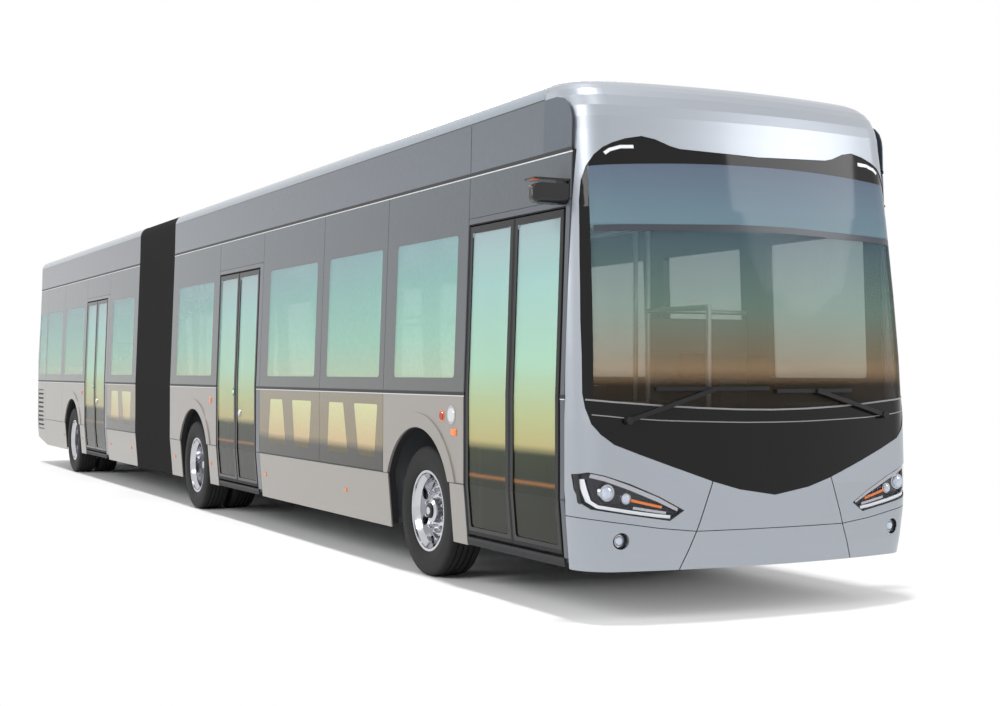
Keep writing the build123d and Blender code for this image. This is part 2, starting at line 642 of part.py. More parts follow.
def door_leaf(x_edge, direction):
    """Glazed leaf: frame with a tall opening, cut from the leaning side of the body."""
    x_meet = x_edge + direction * LEAF_W
    x0, x1 = sorted((x_edge, x_meet))
    slab = along_x(skin_face(DOOR_Z[0], DOOR_Z[1], 0, LEAF_T), x0, x1)
    # stile widths: at the jamb and at the meeting edge
    jamb, meet = 42, 50
    g0, g1 = (x0 + jamb, x1 - meet) if direction > 0 else (x0 + meet, x1 - jamb)
    z0, z1 = 442, 2450
    face = Pos((g0 + g1) / 2, (z0 + z1) / 2) * RectangleRounded(g1 - g0, z1 - z0, 30)
    slab = slab - along_y(face, -1400, -1000)
    pane = along_x(skin_face(z0 - 6, z1 + 6, 8, 16), g0 - 6, g1 + 6)
    slab = slab + pane
    pivot_x = x_edge + direction * (SHAFT_SET_IN + ARM)
    for (z0, z1), (arm0, arm1) in zip(LUG_Z, ARM_Z):
        y_in = -side_y(z0, LEAF_T) - 2
        lug = box(pivot_x - 18, pivot_x + 18, y_in, SHAFT_Y, z0, z1)
        lug += rod(pivot_x, SHAFT_Y, z0, z1, 18)
        lug += rod(pivot_x, SHAFT_Y, min(z0, arm0), max(z1, arm1), 7)
        slab = slab + lug
    return slab


def door_shaft(x_edge, direction):
    x = x_edge + direction * SHAFT_SET_IN
    post = rod(x, SHAFT_Y, FLOOR_Z + RUNNING_GAP, CEILING_Z - RUNNING_GAP, 20)
    for z0, z1 in ARM_Z:
        arm = box(*sorted((x, x + direction * ARM)), SHAFT_Y - 14, SHAFT_Y + 14, z0, z1)
        arm += rod(x + direction * ARM, SHAFT_Y, z0, z1, 16)
        arm = arm - rod(x + direction * ARM, SHAFT_Y, z0 - 5, z1 + 5, 7 + RUNNING_GAP)
        post += arm
    return post


def doors():
    for name, x0, x1 in DOORWAYS:
        for tag, edge, direction in (("rear", x0 + DOOR_GAP, 1), ("front", x1 - DOOR_GAP, -1)):
            save(f"{name}_leaf_{tag}", door_leaf(edge, direction))
            save(f"{name}_shaft_{tag}", door_shaft(edge, direction))


PLEATS = 14
BELLOWS_X = (REAR_CAR_START + 0.3, FRONT_CAR_END - 0.3)


def bellows():
    """Pleated tunnel: ridges and valleys as a ruled stack of body sections."""
    x0, x1 = BELLOWS_X
    pitch = (x1 - x0) / PLEATS

    def pleated(inset):
        wires = []
        for k in range(2 * PLEATS + 1):
            depth = 30 if k % 2 else 0
            face = body_face(SKIRT_Z - (60 if inset else 8), ROOF_Z, inset + depth)
            plane = Plane((x0 + k * pitch / 2, 0, 0), x_dir=(0, 1, 0), z_dir=(1, 0, 0))
            wires.append((plane * face).faces()[0].outer_wire())
        return Solid.make_loft(wires, ruled=True)

    save("bellows", pleated(0) - pleated(14))


def ring_x(x0, x1, inset0, inset1):
    outer = along_x(body_face(300, ROOF_Z, inset0), x0, x1)
    inner = along_x(body_face(SKIRT_Z - 60, ROOF_Z, inset1), x0 - 5, x1 + 5)
    return outer - inner


def hoop():
    """Middle hoop of the bellows with the turning floor disc, carried by the pivot."""
    ring = ring_x(PIVOT_X - 25, PIVOT_X + 25, 27.1, 90)
    beam = box(PIVOT_X - 25, PIVOT_X + 25, -side_y(330, 80), side_y(330, 80), 300, 336)
    beam += rod(PIVOT_X, 0, 294, 336, 120)
    disc = rod(PIVOT_X, 0, 336, FLOOR_Z, 570)
    out = ring + beam + disc
    out = out - rod(PIVOT_X, 0, 200, 342, PIN_R + RUNNING_GAP)
    save("hoop", out)


def seat(x, y, base_z=FLOOR_Z, width=880):
    """Bench of two seats on a pedestal, built as one extruded side profile."""
    pts = [(-60, base_z), (60, base_z), (60, base_z + 380), (250, base_z + 400), (250, base_z + 450),
           (-150, base_z + 450), (-240, base_z + 1020), (-290, base_z + 1010), (-210, base_z + 395),
           (-60, base_z + 380)]
    face = polygon([(x + a, b) for a, b in pts])
    return along_y(face, y - width / 2, y + width / 2)


def build_seats(name, rows):
    save(name, group([seat(*row) for row in rows]))


def poles(name, rows):
    out = []
    for x, y in rows:
        out.append(rod(x, y, FLOOR_Z, CEILING_Z, 17))
    save(name, group(out))


def driver_place():
    x, y = 7880, 640
    base = box(x - 180, x + 180, y - 200, y + 200, FLOOR_Z, FLOOR_Z + 330)
    cushion = box(x - 240, x + 250, y - 250, y + 250, FLOOR_Z + 330, FLOOR_Z + 460)
    back = along_y(polygon([(x - 180, FLOOR_Z + 460), (x - 320, FLOOR_Z + 1120), (x - 400, FLOOR_Z + 1100),
                            (x - 300, FLOOR_Z + 440), (x - 240, FLOOR_Z + 440)]), y - 240, y + 240)
    head = along_y(polygon([(x - 320, FLOOR_Z + 1110), (x - 345, FLOOR_Z + 1320), (x - 420, FLOOR_Z + 1310),
                            (x - 400, FLOOR_Z + 1100)]), y - 130, y + 130)
    save("driver_seat", base + cushion + back + head)
    desk = along_y(polygon([(8420, FLOOR_Z), (8980, FLOOR_Z), (9120, 700), (9150, 1120), (8980, 1180),
                            (8700, 1130), (8560, 1010), (8620, 800), (8420, 600)]), 180, 1080)
    profile = [(8990, FLOOR_Z), (9040, FLOOR_Z), (9120, 700), (9150, 1120), (8990, 1150)]
    dash = along_y(polygon(profile), -400, 190)
    tilt = Pos(8390, 640, 1090) * Rot(0, -28, 0)
    column = tilt * Pos(0, 0, -235) * Cylinder(30, 440)
    wheel = tilt * (Torus(225, 14) + Box(440, 34, 14) + Box(34, 440, 14) + Cylinder(50, 30))
    save("driver_desk", desk + dash + column)
    save("hand_wheel", wheel)


def rear_end():
    shell = tail_solid(0, SKIRT_Z) - tail_solid(40, SKIRT_Z - 80)
    keep = box(-9500, TAIL_X, -1400, 1400, 0, 3400)
    shell = shell & keep
    shell = shell - tail_wedge()
    window = along_x(Pos(0, 2030) * RectangleRounded(2200, 900, 90), -9600, -9150)
    cap = shell - window
    pane = (tail_solid(4, SKIRT_Z) - tail_solid(16, SKIRT_Z - 80)) & keep
    pane = pane & window
    lamps = along_x(Pos(1110, 960) * RectangleRounded(110, 560, 40), -9600, -9150)
    lamps = lamps + mirror_y(lamps)
    cap = cap - lamps
    cap = group([max(cap.solids(), key=lambda s: s.volume)])
    save("rear_cap", cap)
    lamp_skin = (tail_solid(2, SKIRT_Z) - tail_solid(36, SKIRT_Z - 80)) & keep & lamps
    save("tail_lamps", group(lamp_skin.solids()))
    return pane


def build():
    front_end()
    wipers()
    camera_pods()
    roof("roof_front", FRONT_CAR_END, DOME_X)
    roof("roof_rear", TAIL_X, REAR_CAR_START)
    front_axles = (AXLES["front"], AXLES["middle"])
    side_walls("walls_front", FRONT_CAR_END, CAP_X, front_axles, DOORWAYS[:2],
               FRONT_WINDOWS_RIGHT, FRONT_WINDOWS_LEFT, LOW_WINDOWS_FRONT)
    side_walls("walls_rear", TAIL_X, REAR_CAR_START, (AXLES["rear"],), DOORWAYS[2:],
               REAR_WINDOWS_RIGHT, REAR_WINDOWS_LEFT, LOW_WINDOWS_REAR)
    save("glass_front", group(glazing(FRONT_PANES, FRONT_PANES_LEFT,
                                      ((1480, 2960), (7535, 8960)), LOW_PANES_FRONT)))
    rear_pane = rear_end()
    save("glass_rear", group(glazing(REAR_PANES, REAR_PANES_LEFT,
                                     ((-5310, -3800),), LOW_PANES_REAR) + rear_pane.solids()))
    a1, a2, a3 = (AXLES[k] for k in ("front", "middle", "rear"))
    half = ARCH_HALF
    arches_front = {-1: ((6080, 7535, a1), (-420, 1480, a2)),
                    1: ((6080, 7535, a1), (-420, 1480, a2))}
    ahead, behind = a1 + half, a1 - half
    skirts_front = {-1: ((2960, behind), (ahead, 7535), (-420, a2 - half), (a2 + half, 1480)),
                    1: ((2960, behind), (ahead, 8960), (-420, a2 - half), (a2 + half, 2960))}
    extra_left = [layer(x0, x1, LOWER_Z + 3, BELT_Z - 12, 1) for x0, x1 in ((7538, 8957), (1483, 2957))]
    save("panels_front", group(lower_panels(arches_front, skirts_front) + extra_left))
    arches_rear = {-1: ((-6990, -5310, a3),), 1: ((-6990, -5310, a3),)}
    skirts_rear = {-1: ((-3800, -2140), (a3 + half, -5310), (-8435, a3 - half)),
                   1: ((-5310, -2140), (a3 + half, -5310), (-8435, a3 - half))}
    rear_extra = [layer(-8432, -6993, LOWER_Z + 3, BELT_Z - 12, s) for s in (-1, 1)]
    rear_extra += [vent_panel(s) for s in (-1, 1)]
    rear_extra.append(layer(-5307, -3803, LOWER_Z + 3, BELT_Z - 12, 1))
    save("panels_rear", group(lower_panels(arches_rear, skirts_rear) + rear_extra))
    floor("floor_front", FRONT_CAR_END, CAP_X, ((a1, 560), (a2, 600)), gangway_plate(1))
    step = box(PLATFORM_X, PLATFORM_X + 30, -1150, 1150, FLOOR_Z - FLOOR_T, PLATFORM_Z)
    upper = along_x(body_face(PLATFORM_Z - FLOOR_T, PLATFORM_Z, WALL), TAIL_X, PLATFORM_X + 30)
    floor("floor_rear", PLATFORM_X, REAR_CAR_START, ((a3, 600),), gangway_plate(-1) + step + upper)
    front_frame = frame(((-420, a2 - 80), (a2 + 80, a1 - 55), (a1 + 55, CAP_X - 60)),
                        (-380, 1900, 2900, 4400, 5600, 7700, 8700), 1)
    save("chassis_front", front_frame)
    rear_frame = frame(((PLATFORM_X, a3 - 80), (a3 + 80, REAR_CAR_START)),
                       (-2180, -3700, -5200, -7600, -8350), -1)
    save("chassis_rear", rear_frame)
    front_axle()
    rear_axle("axle_middle", a2, True)
    rear_axle("axle_rear", a3, False)
    for side in (-1, 1):
        knuckle(side)
        front_wheel(side)
        twin_wheel("middle", side)
        twin_wheel("rear", side)
    doors()
    bellows()
    hoop()
    rows = [(x, -700) for x in (3360, 4090, 4880, 5700)]
    rows += [(x, 700) for x in (1700, 2500, 3300, 4100, 4900, 5700)]
    build_seats("seats_front", rows)
    rows = [(x, -700) for x in (-2560, -3300, -7400, -8200)]
    rows += [(x, 700) for x in (-2600, -3400, -4200, -5000, -7400, -8200)]
    build_seats("seats_rear", rows + [(-8800, 0, PLATFORM_Z, 2200)])
    poles("poles_front", ((7350, -330), (5300, -220), (5300, 220), (3600, -220), (3600, 220),
                          (1100, -400), (2170, 330), (7350, 240)))
    poles("poles_rear", ((-2700, -220), (-2700, 220), (-5600, -400), (-4615, 220),
                         (-6900, -220), (-6900, 220)))
    driver_place()


build()
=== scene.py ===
from math import atan2, cos, pi, radians, sin, sqrt

import bmesh
import bpy
from mathutils import Matrix, Vector


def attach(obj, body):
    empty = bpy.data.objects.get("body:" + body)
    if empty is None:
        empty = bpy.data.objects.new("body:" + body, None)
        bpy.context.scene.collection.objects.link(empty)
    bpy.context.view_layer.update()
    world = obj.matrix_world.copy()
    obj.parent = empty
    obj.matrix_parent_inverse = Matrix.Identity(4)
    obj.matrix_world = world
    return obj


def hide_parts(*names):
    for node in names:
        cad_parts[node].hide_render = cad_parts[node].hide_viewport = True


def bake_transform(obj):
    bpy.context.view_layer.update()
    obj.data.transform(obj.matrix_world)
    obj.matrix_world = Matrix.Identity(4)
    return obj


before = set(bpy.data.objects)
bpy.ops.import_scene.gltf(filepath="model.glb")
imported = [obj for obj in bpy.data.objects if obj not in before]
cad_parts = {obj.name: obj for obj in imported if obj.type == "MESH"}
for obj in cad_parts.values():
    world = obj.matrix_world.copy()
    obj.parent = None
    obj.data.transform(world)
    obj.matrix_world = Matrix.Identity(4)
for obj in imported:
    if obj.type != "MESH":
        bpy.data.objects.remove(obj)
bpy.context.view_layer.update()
print("frame loaded")

# outer form of the coachwork, metres: height -> half width, nose and tail positions
coach = {
    "side": ((0.31, 1.230), (0.73, 1.265), (1.35, 1.265), (2.857, 1.212), (3.2, 1.205)),
    "nose": ((0.31, 9.325), (0.42, 9.345), (0.6, 9.362), (0.8, 9.365), (1.2, 9.352),
             (1.6, 9.330), (2.0, 9.295), (2.5, 9.240), (2.98, 9.170)),
    "tail": ((0.31, 9.330), (0.6, 9.365), (1.7, 9.355), (2.37, 9.285), (3.03, 9.262)),
    "low": 0.31, "roofEdge": 3.2, "roofRadius": 0.13, "domeRadius": 0.35,
    "crown": 4.854, "corner": 0.25, "tailCrown": 9.0, "tailCorner": 0.12,
    # heights at which the side wall bends, and at which a patch over the roof edge is cut
    "bends": (0.73, 1.35, 2.857, 3.2), "roofCuts": (3.235, 3.265, 3.29),
}


def lookUp(rows, z):
    for (z0, v0), (z1, v1) in zip(rows, rows[1:]):
        if z <= z1:
            return v0 + (v1 - v0) * (z - z0) / (z1 - z0)
    return rows[-1][1]


def sideY(z):
    edge, radius = coach["roofEdge"], coach["roofRadius"]
    if z > edge:
        return coach["side"][-1][1] - radius + sqrt(max(radius ** 2 - (z - edge) ** 2, 0))
    return lookUp(coach["side"], max(z, coach["low"]))


def noseX(z):
    zDome, xDome = coach["nose"][-1]
    radius = coach["domeRadius"]
    if z > zDome:
        return xDome - radius + sqrt(max(radius ** 2 - (z - zDome) ** 2, 0))
    return lookUp(coach["nose"], max(z, coach["low"]))


def crownedX(y, tip, half, radius, crown):
    # plan curve: a wide crown with a round corner at each side
    cornerY = half - radius
    centre = tip - crown
    cornerX = centre + sqrt((crown - radius) ** 2 - cornerY ** 2)
    switch = crown * cornerY / (crown - radius)
    y = min(abs(y), half)
    if y <= switch:
        return centre + sqrt(crown ** 2 - y ** 2)
    return cornerX + sqrt(max(radius ** 2 - (y - cornerY) ** 2, 0))


def noseAt(y, z):
    return crownedX(y, noseX(z), sideY(z), coach["corner"], coach["crown"])


def tailAt(y, z):
    tip = lookUp(coach["tail"], max(z, coach["low"]))
    return -crownedX(y, tip, sideY(z), coach["tailCorner"], coach["tailCrown"])


# materials
def tone(r, g, b):
    def linear(c):
        return c / 12.92 if c <= 0.04045 else ((c + 0.055) / 1.055) ** 2.4
    return (linear(r), linear(g), linear(b), 1.0)


def grey(level):
    return (level, level, level, 1)


def feed(node, values):
    # a socket is linked, a number or colour is set directly
    for name, value in values.items():
        if isinstance(value, bpy.types.NodeSocket):
            node.id_data.links.new(value, node.inputs[name])
        elif value is not None:
            node.inputs[name].default_value = value


def blank(name):
    # material, node tree, shader, and the place on the object as a vector and as its three axes
    mat = bpy.data.materials.new(name)
    mat.use_nodes = True
    tree = mat.node_tree
    spot = tree.nodes.new("ShaderNodeTexCoord").outputs["Object"]
    split = tree.nodes.new("ShaderNodeSeparateXYZ")
    feed(split, {0: spot})
    return mat, tree, tree.nodes["Principled BSDF"], spot, split.outputs


def ramp(tree, source, stops):
    node = tree.nodes.new("ShaderNodeValToRGB")
    elements = node.color_ramp.elements
    while len(elements) < len(stops):
        elements.new(0.5)
    for element, (position, colour) in zip(elements, stops):
        element.position = position
        element.color = colour
    feed(node, {"Fac": source})
    return node.outputs["Color"]


def calc(tree, kind, a, b=None, clamp=False):
    node = tree.nodes.new("ShaderNodeMath")
    node.operation = kind
    node.use_clamp = clamp
    feed(node, {0: a, 1: b})
    return node.outputs[0]


def speckle(tree, spot, scale):
    noise = tree.nodes.new("ShaderNodeTexNoise")
    feed(noise, {"Scale": scale, "Detail": 4.0, "Vector": spot})
    return noise.outputs["Fac"]


def bumpFrom(tree, shader, height, strength):
    bump = tree.nodes.new("ShaderNodeBump")
    feed(bump, {"Strength": strength, "Distance": 0.002, "Height": height})
    feed(shader, {"Normal": bump.outputs["Normal"]})


def mixed(tree, a, b, factor, kind="MIX"):
    mix = tree.nodes.new("ShaderNodeMix")
    mix.data_type = "RGBA"
    mix.blend_type = kind
    feed(mix, {"Factor": factor, "A": a, "B": b})
    return mix.outputs["Result"]


# noise values between which the grain runs, and how far it moves the roughness
grainLook = {"low": 0.3, "high": 0.7, "change": 0.05, "leastRough": 0.02}


def grainRamp(tree, noise, low, high):
    return ramp(tree, noise, ((grainLook["low"], low), (grainLook["high"], high)))


def finish(name, shade, metal, rough, coat, grain, bump, spread=0.06):
    # one plain finish with fine grain in colour, gloss and height
    mat, tree, shader, spot, _ = blank(name)
    noise = speckle(tree, spot, grain)
    dark = tuple(c * (1 - spread) for c in tone(*shade)[:3]) + (1,)
    light = tuple(min(1, c * (1 + spread)) for c in tone(*shade)[:3]) + (1,)
    low = max(rough - grainLook["change"], grainLook["leastRough"])
    high = min(rough + grainLook["change"], 1)
    feed(shader, {"Base Color": grainRamp(tree, noise, dark, light), "Metallic": metal, "Coat Weight": coat,
                  "Roughness": grainRamp(tree, noise, grey(low), grey(high)), "Coat Roughness": 0.1,
                  "Specular IOR Level": 0.3})
    bumpFrom(tree, shader, noise, bump)
    return mat


def byHeight(tree, z, zRange, stops):
    # ramp over the height; stops are (height, red, green, blue) or (height, grey)
    z0, z1 = zRange
    height = calc(tree, "DIVIDE", calc(tree, "SUBTRACT", z, z0), z1 - z0, True)
    colours = [tone(*row[1:]) if len(row) == 4 else grey(row[1]) for row in stops]
    return ramp(tree, height, [((row[0] - z0) / (z1 - z0), c) for row, c in zip(stops, colours)])


def banded(name, stops, rough, coat=0.0, zRange=(0.0, 3.4), alpha=1.0):
    # colour that changes with height
    mat, tree, shader, spot, axes = blank(name)
    noise = speckle(tree, spot, 30)
    grain = grainRamp(tree, noise, grey(0.93), grey(1))
    colour = mixed(tree, byHeight(tree, axes["Z"], zRange, stops), grain, 1.0, "MULTIPLY")
    feed(shader, {"Base Color": colour, "Roughness": rough, "Coat Weight": coat, "Alpha": alpha})
    bumpFrom(tree, shader, noise, 0.01)
    return mat


finishes = {
    # material name, colour, metal, roughness, coat, grain, bump, spread of the colour
    "silver": ("silverPaint", (0.63, 0.65, 0.68), 0.6, 0.38, 0.25, 900, 0.0, 0.015),
    "greige": ("warmSilverPaint", (0.58, 0.56, 0.54), 0.35, 0.34, 0.4, 900, 0.0, 0.015),
    "slate": ("slatePanel", (0.30, 0.32, 0.35), 0.0, 0.16, 0.3, 60, 0.0, 0.03),
    "black": ("blackTrim", (0.09, 0.09, 0.10), 0.0, 0.42, 0.0, 120, 0.05),
    "glossBlack": ("glossBlack", (0.07, 0.07, 0.08), 0.0, 0.12, 0.4, 60, 0.004),
    "rubber": ("sealRubber", (0.13, 0.13, 0.13), 0.0, 0.7, 0.0, 160, 0.15),
    "bellows": ("bellowsCloth", (0.115, 0.115, 0.12), 0.0, 0.85, 0.0, 300, 0.25),
    "tyre": ("tyreRubber", (0.12, 0.12, 0.125), 0.0, 0.72, 0.0, 220, 0.2),
    "chrome": ("polishedAlloy", (0.76, 0.76, 0.78), 1.0, 0.12, 0.0, 40, 0.004, 0.02),
    "brightTrim": ("brightTrim", (0.86, 0.87, 0.88), 0.9, 0.2, 0.0, 60, 0.004, 0.02),
    "steel": ("brushedSteel", (0.72, 0.72, 0.72), 0.9, 0.32, 0.0, 90, 0.03),
    "frameSteel": ("darkFrame", (0.16, 0.16, 0.17), 0.2, 0.6, 0.0, 80, 0.1),
    "iron": ("axleIron", (0.17, 0.17, 0.17), 0.4, 0.6, 0.0, 60, 0.3),
    "floor": ("saloonFloor", (0.42, 0.43, 0.44), 0.0, 0.55, 0.0, 400, 0.05, 0.15),
    "ceiling": ("ceilingPanel", (0.80, 0.80, 0.79), 0.0, 0.5, 0.0, 60, 0.02),
    "seatShell": ("seatShell", (0.36, 0.38, 0.40), 0.0, 0.42, 0.0, 120, 0.06),
    "seatCloth": ("seatCloth", (0.20, 0.36, 0.38), 0.0, 0.9, 0.0, 700, 0.4, 0.25),
    "driverCloth": ("driverCloth", (0.33, 0.25, 0.23), 0.0, 0.9, 0.0, 600, 0.4, 0.2),
    "desk": ("deskPlastic", (0.16, 0.15, 0.15), 0.0, 0.6, 0.0, 300, 0.15),
    "amber": ("amberLens", (0.93, 0.50, 0.16), 0.0, 0.2, 0.3, 200, 0.1, 0.1),
    "red": ("redLens", (0.62, 0.05, 0.05), 0.0, 0.15, 0.4, 200, 0.1, 0.1),
    "whiteLens": ("whiteLens", (0.94, 0.95, 0.97), 0.0, 0.2, 0.4, 200, 0.05, 0.03),
    "green": ("greenButton", (0.10, 0.55, 0.32), 0.0, 0.35, 0.0, 200, 0.05),
    "lineGrey": ("lineGrey", (0.55, 0.55, 0.56), 0.0, 0.3, 0.0, 120, 0.02),
    "bandPrint": ("bandPrint", (0.25, 0.27, 0.30), 0.0, 0.2, 0.0, 120, 0.02),
    "coveDark": ("coveDark", (0.31, 0.34, 0.38), 0.0, 0.2, 0.2, 60, 0.004, 0.03),
    "hubDark": ("hubDark", (0.12, 0.12, 0.13), 0.3, 0.4, 0.0, 90, 0.05),
    "projector": ("projectorLens", (0.80, 0.84, 0.90), 0.3, 0.06, 0.5, 60, 0.004),
    "plate": ("blankPlate", (0.90, 0.90, 0.88), 0.0, 0.45, 0.0, 120, 0.03),
}
mats = {key: finish(*row) for key, row in finishes.items()}

# side windows: teal tint with a painted reflection, darker low, pale yellow-green then teal higher up
mats["window"] = banded("tealWindowPaintedReflection", (
    (0.0, 0.30, 0.32, 0.20), (1.42, 0.78, 0.86, 0.74), (1.75, 0.66, 0.86, 0.78), (2.15, 0.60, 0.80, 0.77),
    (2.46, 0.60, 0.74, 0.76)), 0.06, alpha=0.55)
mats["print"] = banded("glassPrint", (
    (0.0, 0.24, 0.24, 0.22), (1.3, 0.34, 0.35, 0.35), (2.9, 0.31, 0.34, 0.37)), 0.08)
# low glazed panels: dark print with a painted reflection, dark brown low and warm grey above a sharp line
mats["lowPrintAndReflection"] = banded("lowGlassPrintPaintedReflection", (
    (0.7, 0.12, 0.11, 0.08), (0.87, 0.16, 0.15, 0.11), (0.94, 0.50, 0.45, 0.34), (1.36, 0.52, 0.49, 0.42)),
    0.1, zRange=(0.7, 1.4))
# low windows: see-through glass with a painted reflection, dark low, a peach band, pale yellow-green higher
# up
mats["lowWindow"] = banded("lowWindow", (
    (0.7, 0.20, 0.19, 0.12), (0.87, 0.36, 0.32, 0.16), (0.93, 0.84, 0.74, 0.55), (1.25, 0.86, 0.87, 0.66)),
    0.08, zRange=(0.7, 1.4), alpha=0.8)
mats["roof"] = banded("roofBand", (
    (0.0, 0.33, 0.36, 0.40), (3.203, 0.31, 0.34, 0.38), (3.205, 0.10, 0.10, 0.11), (3.213, 0.10, 0.10, 0.11),
    (3.215, 0.52, 0.56, 0.60), (3.34, 0.55, 0.58, 0.62)), 0.2, 0.2, (2.8, 3.4))

leafPane = {
    "middle": 1.446, "half": 1.003, "zRange": (0.0, 2.5), "clearness": 0.26, "frame": tone(0.11, 0.11, 0.12),
    # glass colour by height: tint with a painted reflection, dark low with an orange line, light and teal
    # higher up
    "stops": ((0.40, 0.12, 0.11, 0.06), (0.78, 0.12, 0.14, 0.07), (0.80, 0.60, 0.40, 0.20),
              (0.82, 0.15, 0.17, 0.10), (0.98, 0.18, 0.22, 0.12), (1.04, 0.76, 0.72, 0.50),
              (1.25, 0.74, 0.78, 0.58), (1.55, 0.68, 0.84, 0.74), (2.1, 0.64, 0.80, 0.78),
              (2.45, 0.66, 0.74, 0.76)),
}


def leafGlass(name, x0, x1):
    # door leaf: dark frame outside the glass rectangle, see-through tinted glass inside it whose colour
    # changes with height as a painted reflection
    mat, tree, shader, spot, axes = blank(name)
    inside = 1.0
    sides = (("X", (x0 + x1) / 2, (x1 - x0) / 2), ("Z", leafPane["middle"], leafPane["half"]))
    for axis, middle, half in sides:
        across = calc(tree, "ABSOLUTE", calc(tree, "SUBTRACT", axes[axis], middle))
        inside = calc(tree, "MULTIPLY", inside, calc(tree, "LESS_THAN", across, half))
    glass = byHeight(tree, axes["Z"], leafPane["zRange"], leafPane["stops"])
    alpha = calc(tree, "SUBTRACT", 1.0, calc(tree, "MULTIPLY", inside, leafPane["clearness"]))
    feed(shader, {"Base Color": mixed(tree, leafPane["frame"], glass, inside), "Alpha": alpha,
                  "Roughness": 0.1, "Specular IOR Level": 0.25})
    bumpFrom(tree, shader, speckle(tree, spot, 40), 0.004)
    return mat


screenPane = {
    # limits of the clear zone: upper and lower edge with their bend, side edge with its lean
    "high": 2.790, "highBend": 0.033, "low": 1.268, "lowBend": 0.045, "side": 1.218, "lean": 0.028,
    "zRange": (0.0, 3.0), "print": tone(0.075, 0.075, 0.08),
    # colour of the clear zone by height: a painted reflection, dark brown low, a peach band, teal-grey higher
    # up
    "stops": ((1.2, 0.10, 0.09, 0.07), (1.42, 0.22, 0.18, 0.13), (1.52, 0.72, 0.60, 0.46),
              (1.9, 0.60, 0.72, 0.66), (2.3, 0.46, 0.58, 0.62), (2.8, 0.40, 0.45, 0.53)),
    # height, how solid the tint is there
    "tint": ((1.25, 0.55), (1.6, 0.22), (2.36, 0.22), (2.40, 0.75)),
}


def screenGlass():
    # windscreen: black print round the edge and below, tinted clear zone in the middle whose colour changes
    # with height as a painted reflection
    mat, tree, shader, spot, axes = blank("windscreenGlass")
    pane, y, z = screenPane, axes["Y"], axes["Z"]
    ySquared = calc(tree, "MULTIPLY", y, y)
    high = calc(tree, "ADD", z, calc(tree, "MULTIPLY", ySquared, pane["highBend"]))
    low = calc(tree, "SUBTRACT", z, calc(tree, "MULTIPLY", ySquared, pane["lowBend"]))
    wide = calc(tree, "ADD", calc(tree, "ABSOLUTE", y), calc(tree, "MULTIPLY", z, pane["lean"]))
    clear = calc(tree, "GREATER_THAN", low, pane["low"])
    for value, limit in ((high, pane["high"]), (wide, pane["side"])):
        clear = calc(tree, "MULTIPLY", clear, calc(tree, "LESS_THAN", value, limit))
    glass = byHeight(tree, z, pane["zRange"], pane["stops"])
    tint = byHeight(tree, z, pane["zRange"], pane["tint"])
    solid = calc(tree, "SUBTRACT", 1.0, clear)
    alpha = calc(tree, "ADD", solid, calc(tree, "MULTIPLY", clear, tint), True)
    feed(shader, {"Base Color": mixed(tree, pane["print"], glass, clear), "Alpha": alpha,
                  "Roughness": 0.06, "Specular IOR Level": 0.22})
    bumpFrom(tree, shader, speckle(tree, spot, 3), 0.0)
    return mat


mats["screen"] = screenGlass()


def clearLens():
    mat, tree, shader, spot, _ = blank("clearLens")
    feed(shader, {"Base Color": tone(0.45, 0.48, 0.52), "Roughness": 0.05, "Specular IOR Level": 0.2,
                  "Alpha": 0.06})
    bumpFrom(tree, shader, speckle(tree, spot, 30), 0.003)
    return mat


mats["lens"] = clearLens()
print("materials ready")


# mesh helpers
def join(into, part, index=None):
    if index is not None:
        for face in part.faces:
            face.material_index = index
    mesh = bpy.data.meshes.new("part")
    part.to_mesh(mesh)
    part.free()
    into.from_mesh(mesh)
    bpy.data.meshes.remove(mesh)


def linked(name, data):
    obj = bpy.data.objects.new(name, data)
    bpy.context.scene.collection.objects.link(obj)
    return obj


def place(name, bm, materials, body, sharp=35, doubles=1e-5):
    bmesh.ops.remove_doubles(bm, verts=bm.verts, dist=doubles)
    bmesh.ops.recalc_face_normals(bm, faces=bm.faces)
    mesh = bpy.data.meshes.new(name)
    bm.to_mesh(mesh)
    bm.free()
    mesh.shade_smooth()
    mesh.set_sharp_from_angle(angle=radians(sharp))
    obj = linked(name, mesh)
    for material in materials:
        mesh.materials.append(mats[material])
    if body:
        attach(obj, body)
    return obj


def block(bm, lo, hi, bevel, segments, index=0, matrix=None):
    part = bmesh.new()
    bmesh.ops.create_cube(part, size=1)
    size = [b - a for a, b in zip(lo, hi)]
    bmesh.ops.scale(part, vec=size, verts=part.verts)
    bmesh.ops.bevel(part, geom=part.edges[:], offset=bevel, segments=segments, profile=0.5, affect="EDGES",
                    material=-1, clamp_overlap=True)
    bmesh.ops.translate(part, vec=[(a + b) / 2 for a, b in zip(lo, hi)], verts=part.verts)
    if matrix:
        bmesh.ops.transform(part, matrix=matrix, verts=part.verts)
    join(bm, part, index)


def tube(bm, start, end, radius, segments=16, endRadius=None, index=0):
    start, end = Vector(start), Vector(end)
    way = end - start
    turn = way.to_track_quat("Z", "Y").to_matrix().to_4x4()
    part = bmesh.new()
    bmesh.ops.create_cone(part, cap_ends=True, cap_tris=False, segments=segments, radius1=radius,
                          radius2=radius if endRadius is None else endRadius, depth=way.length,
                          matrix=Matrix.Translation((start + end) / 2) @ turn)
    join(bm, part, index)


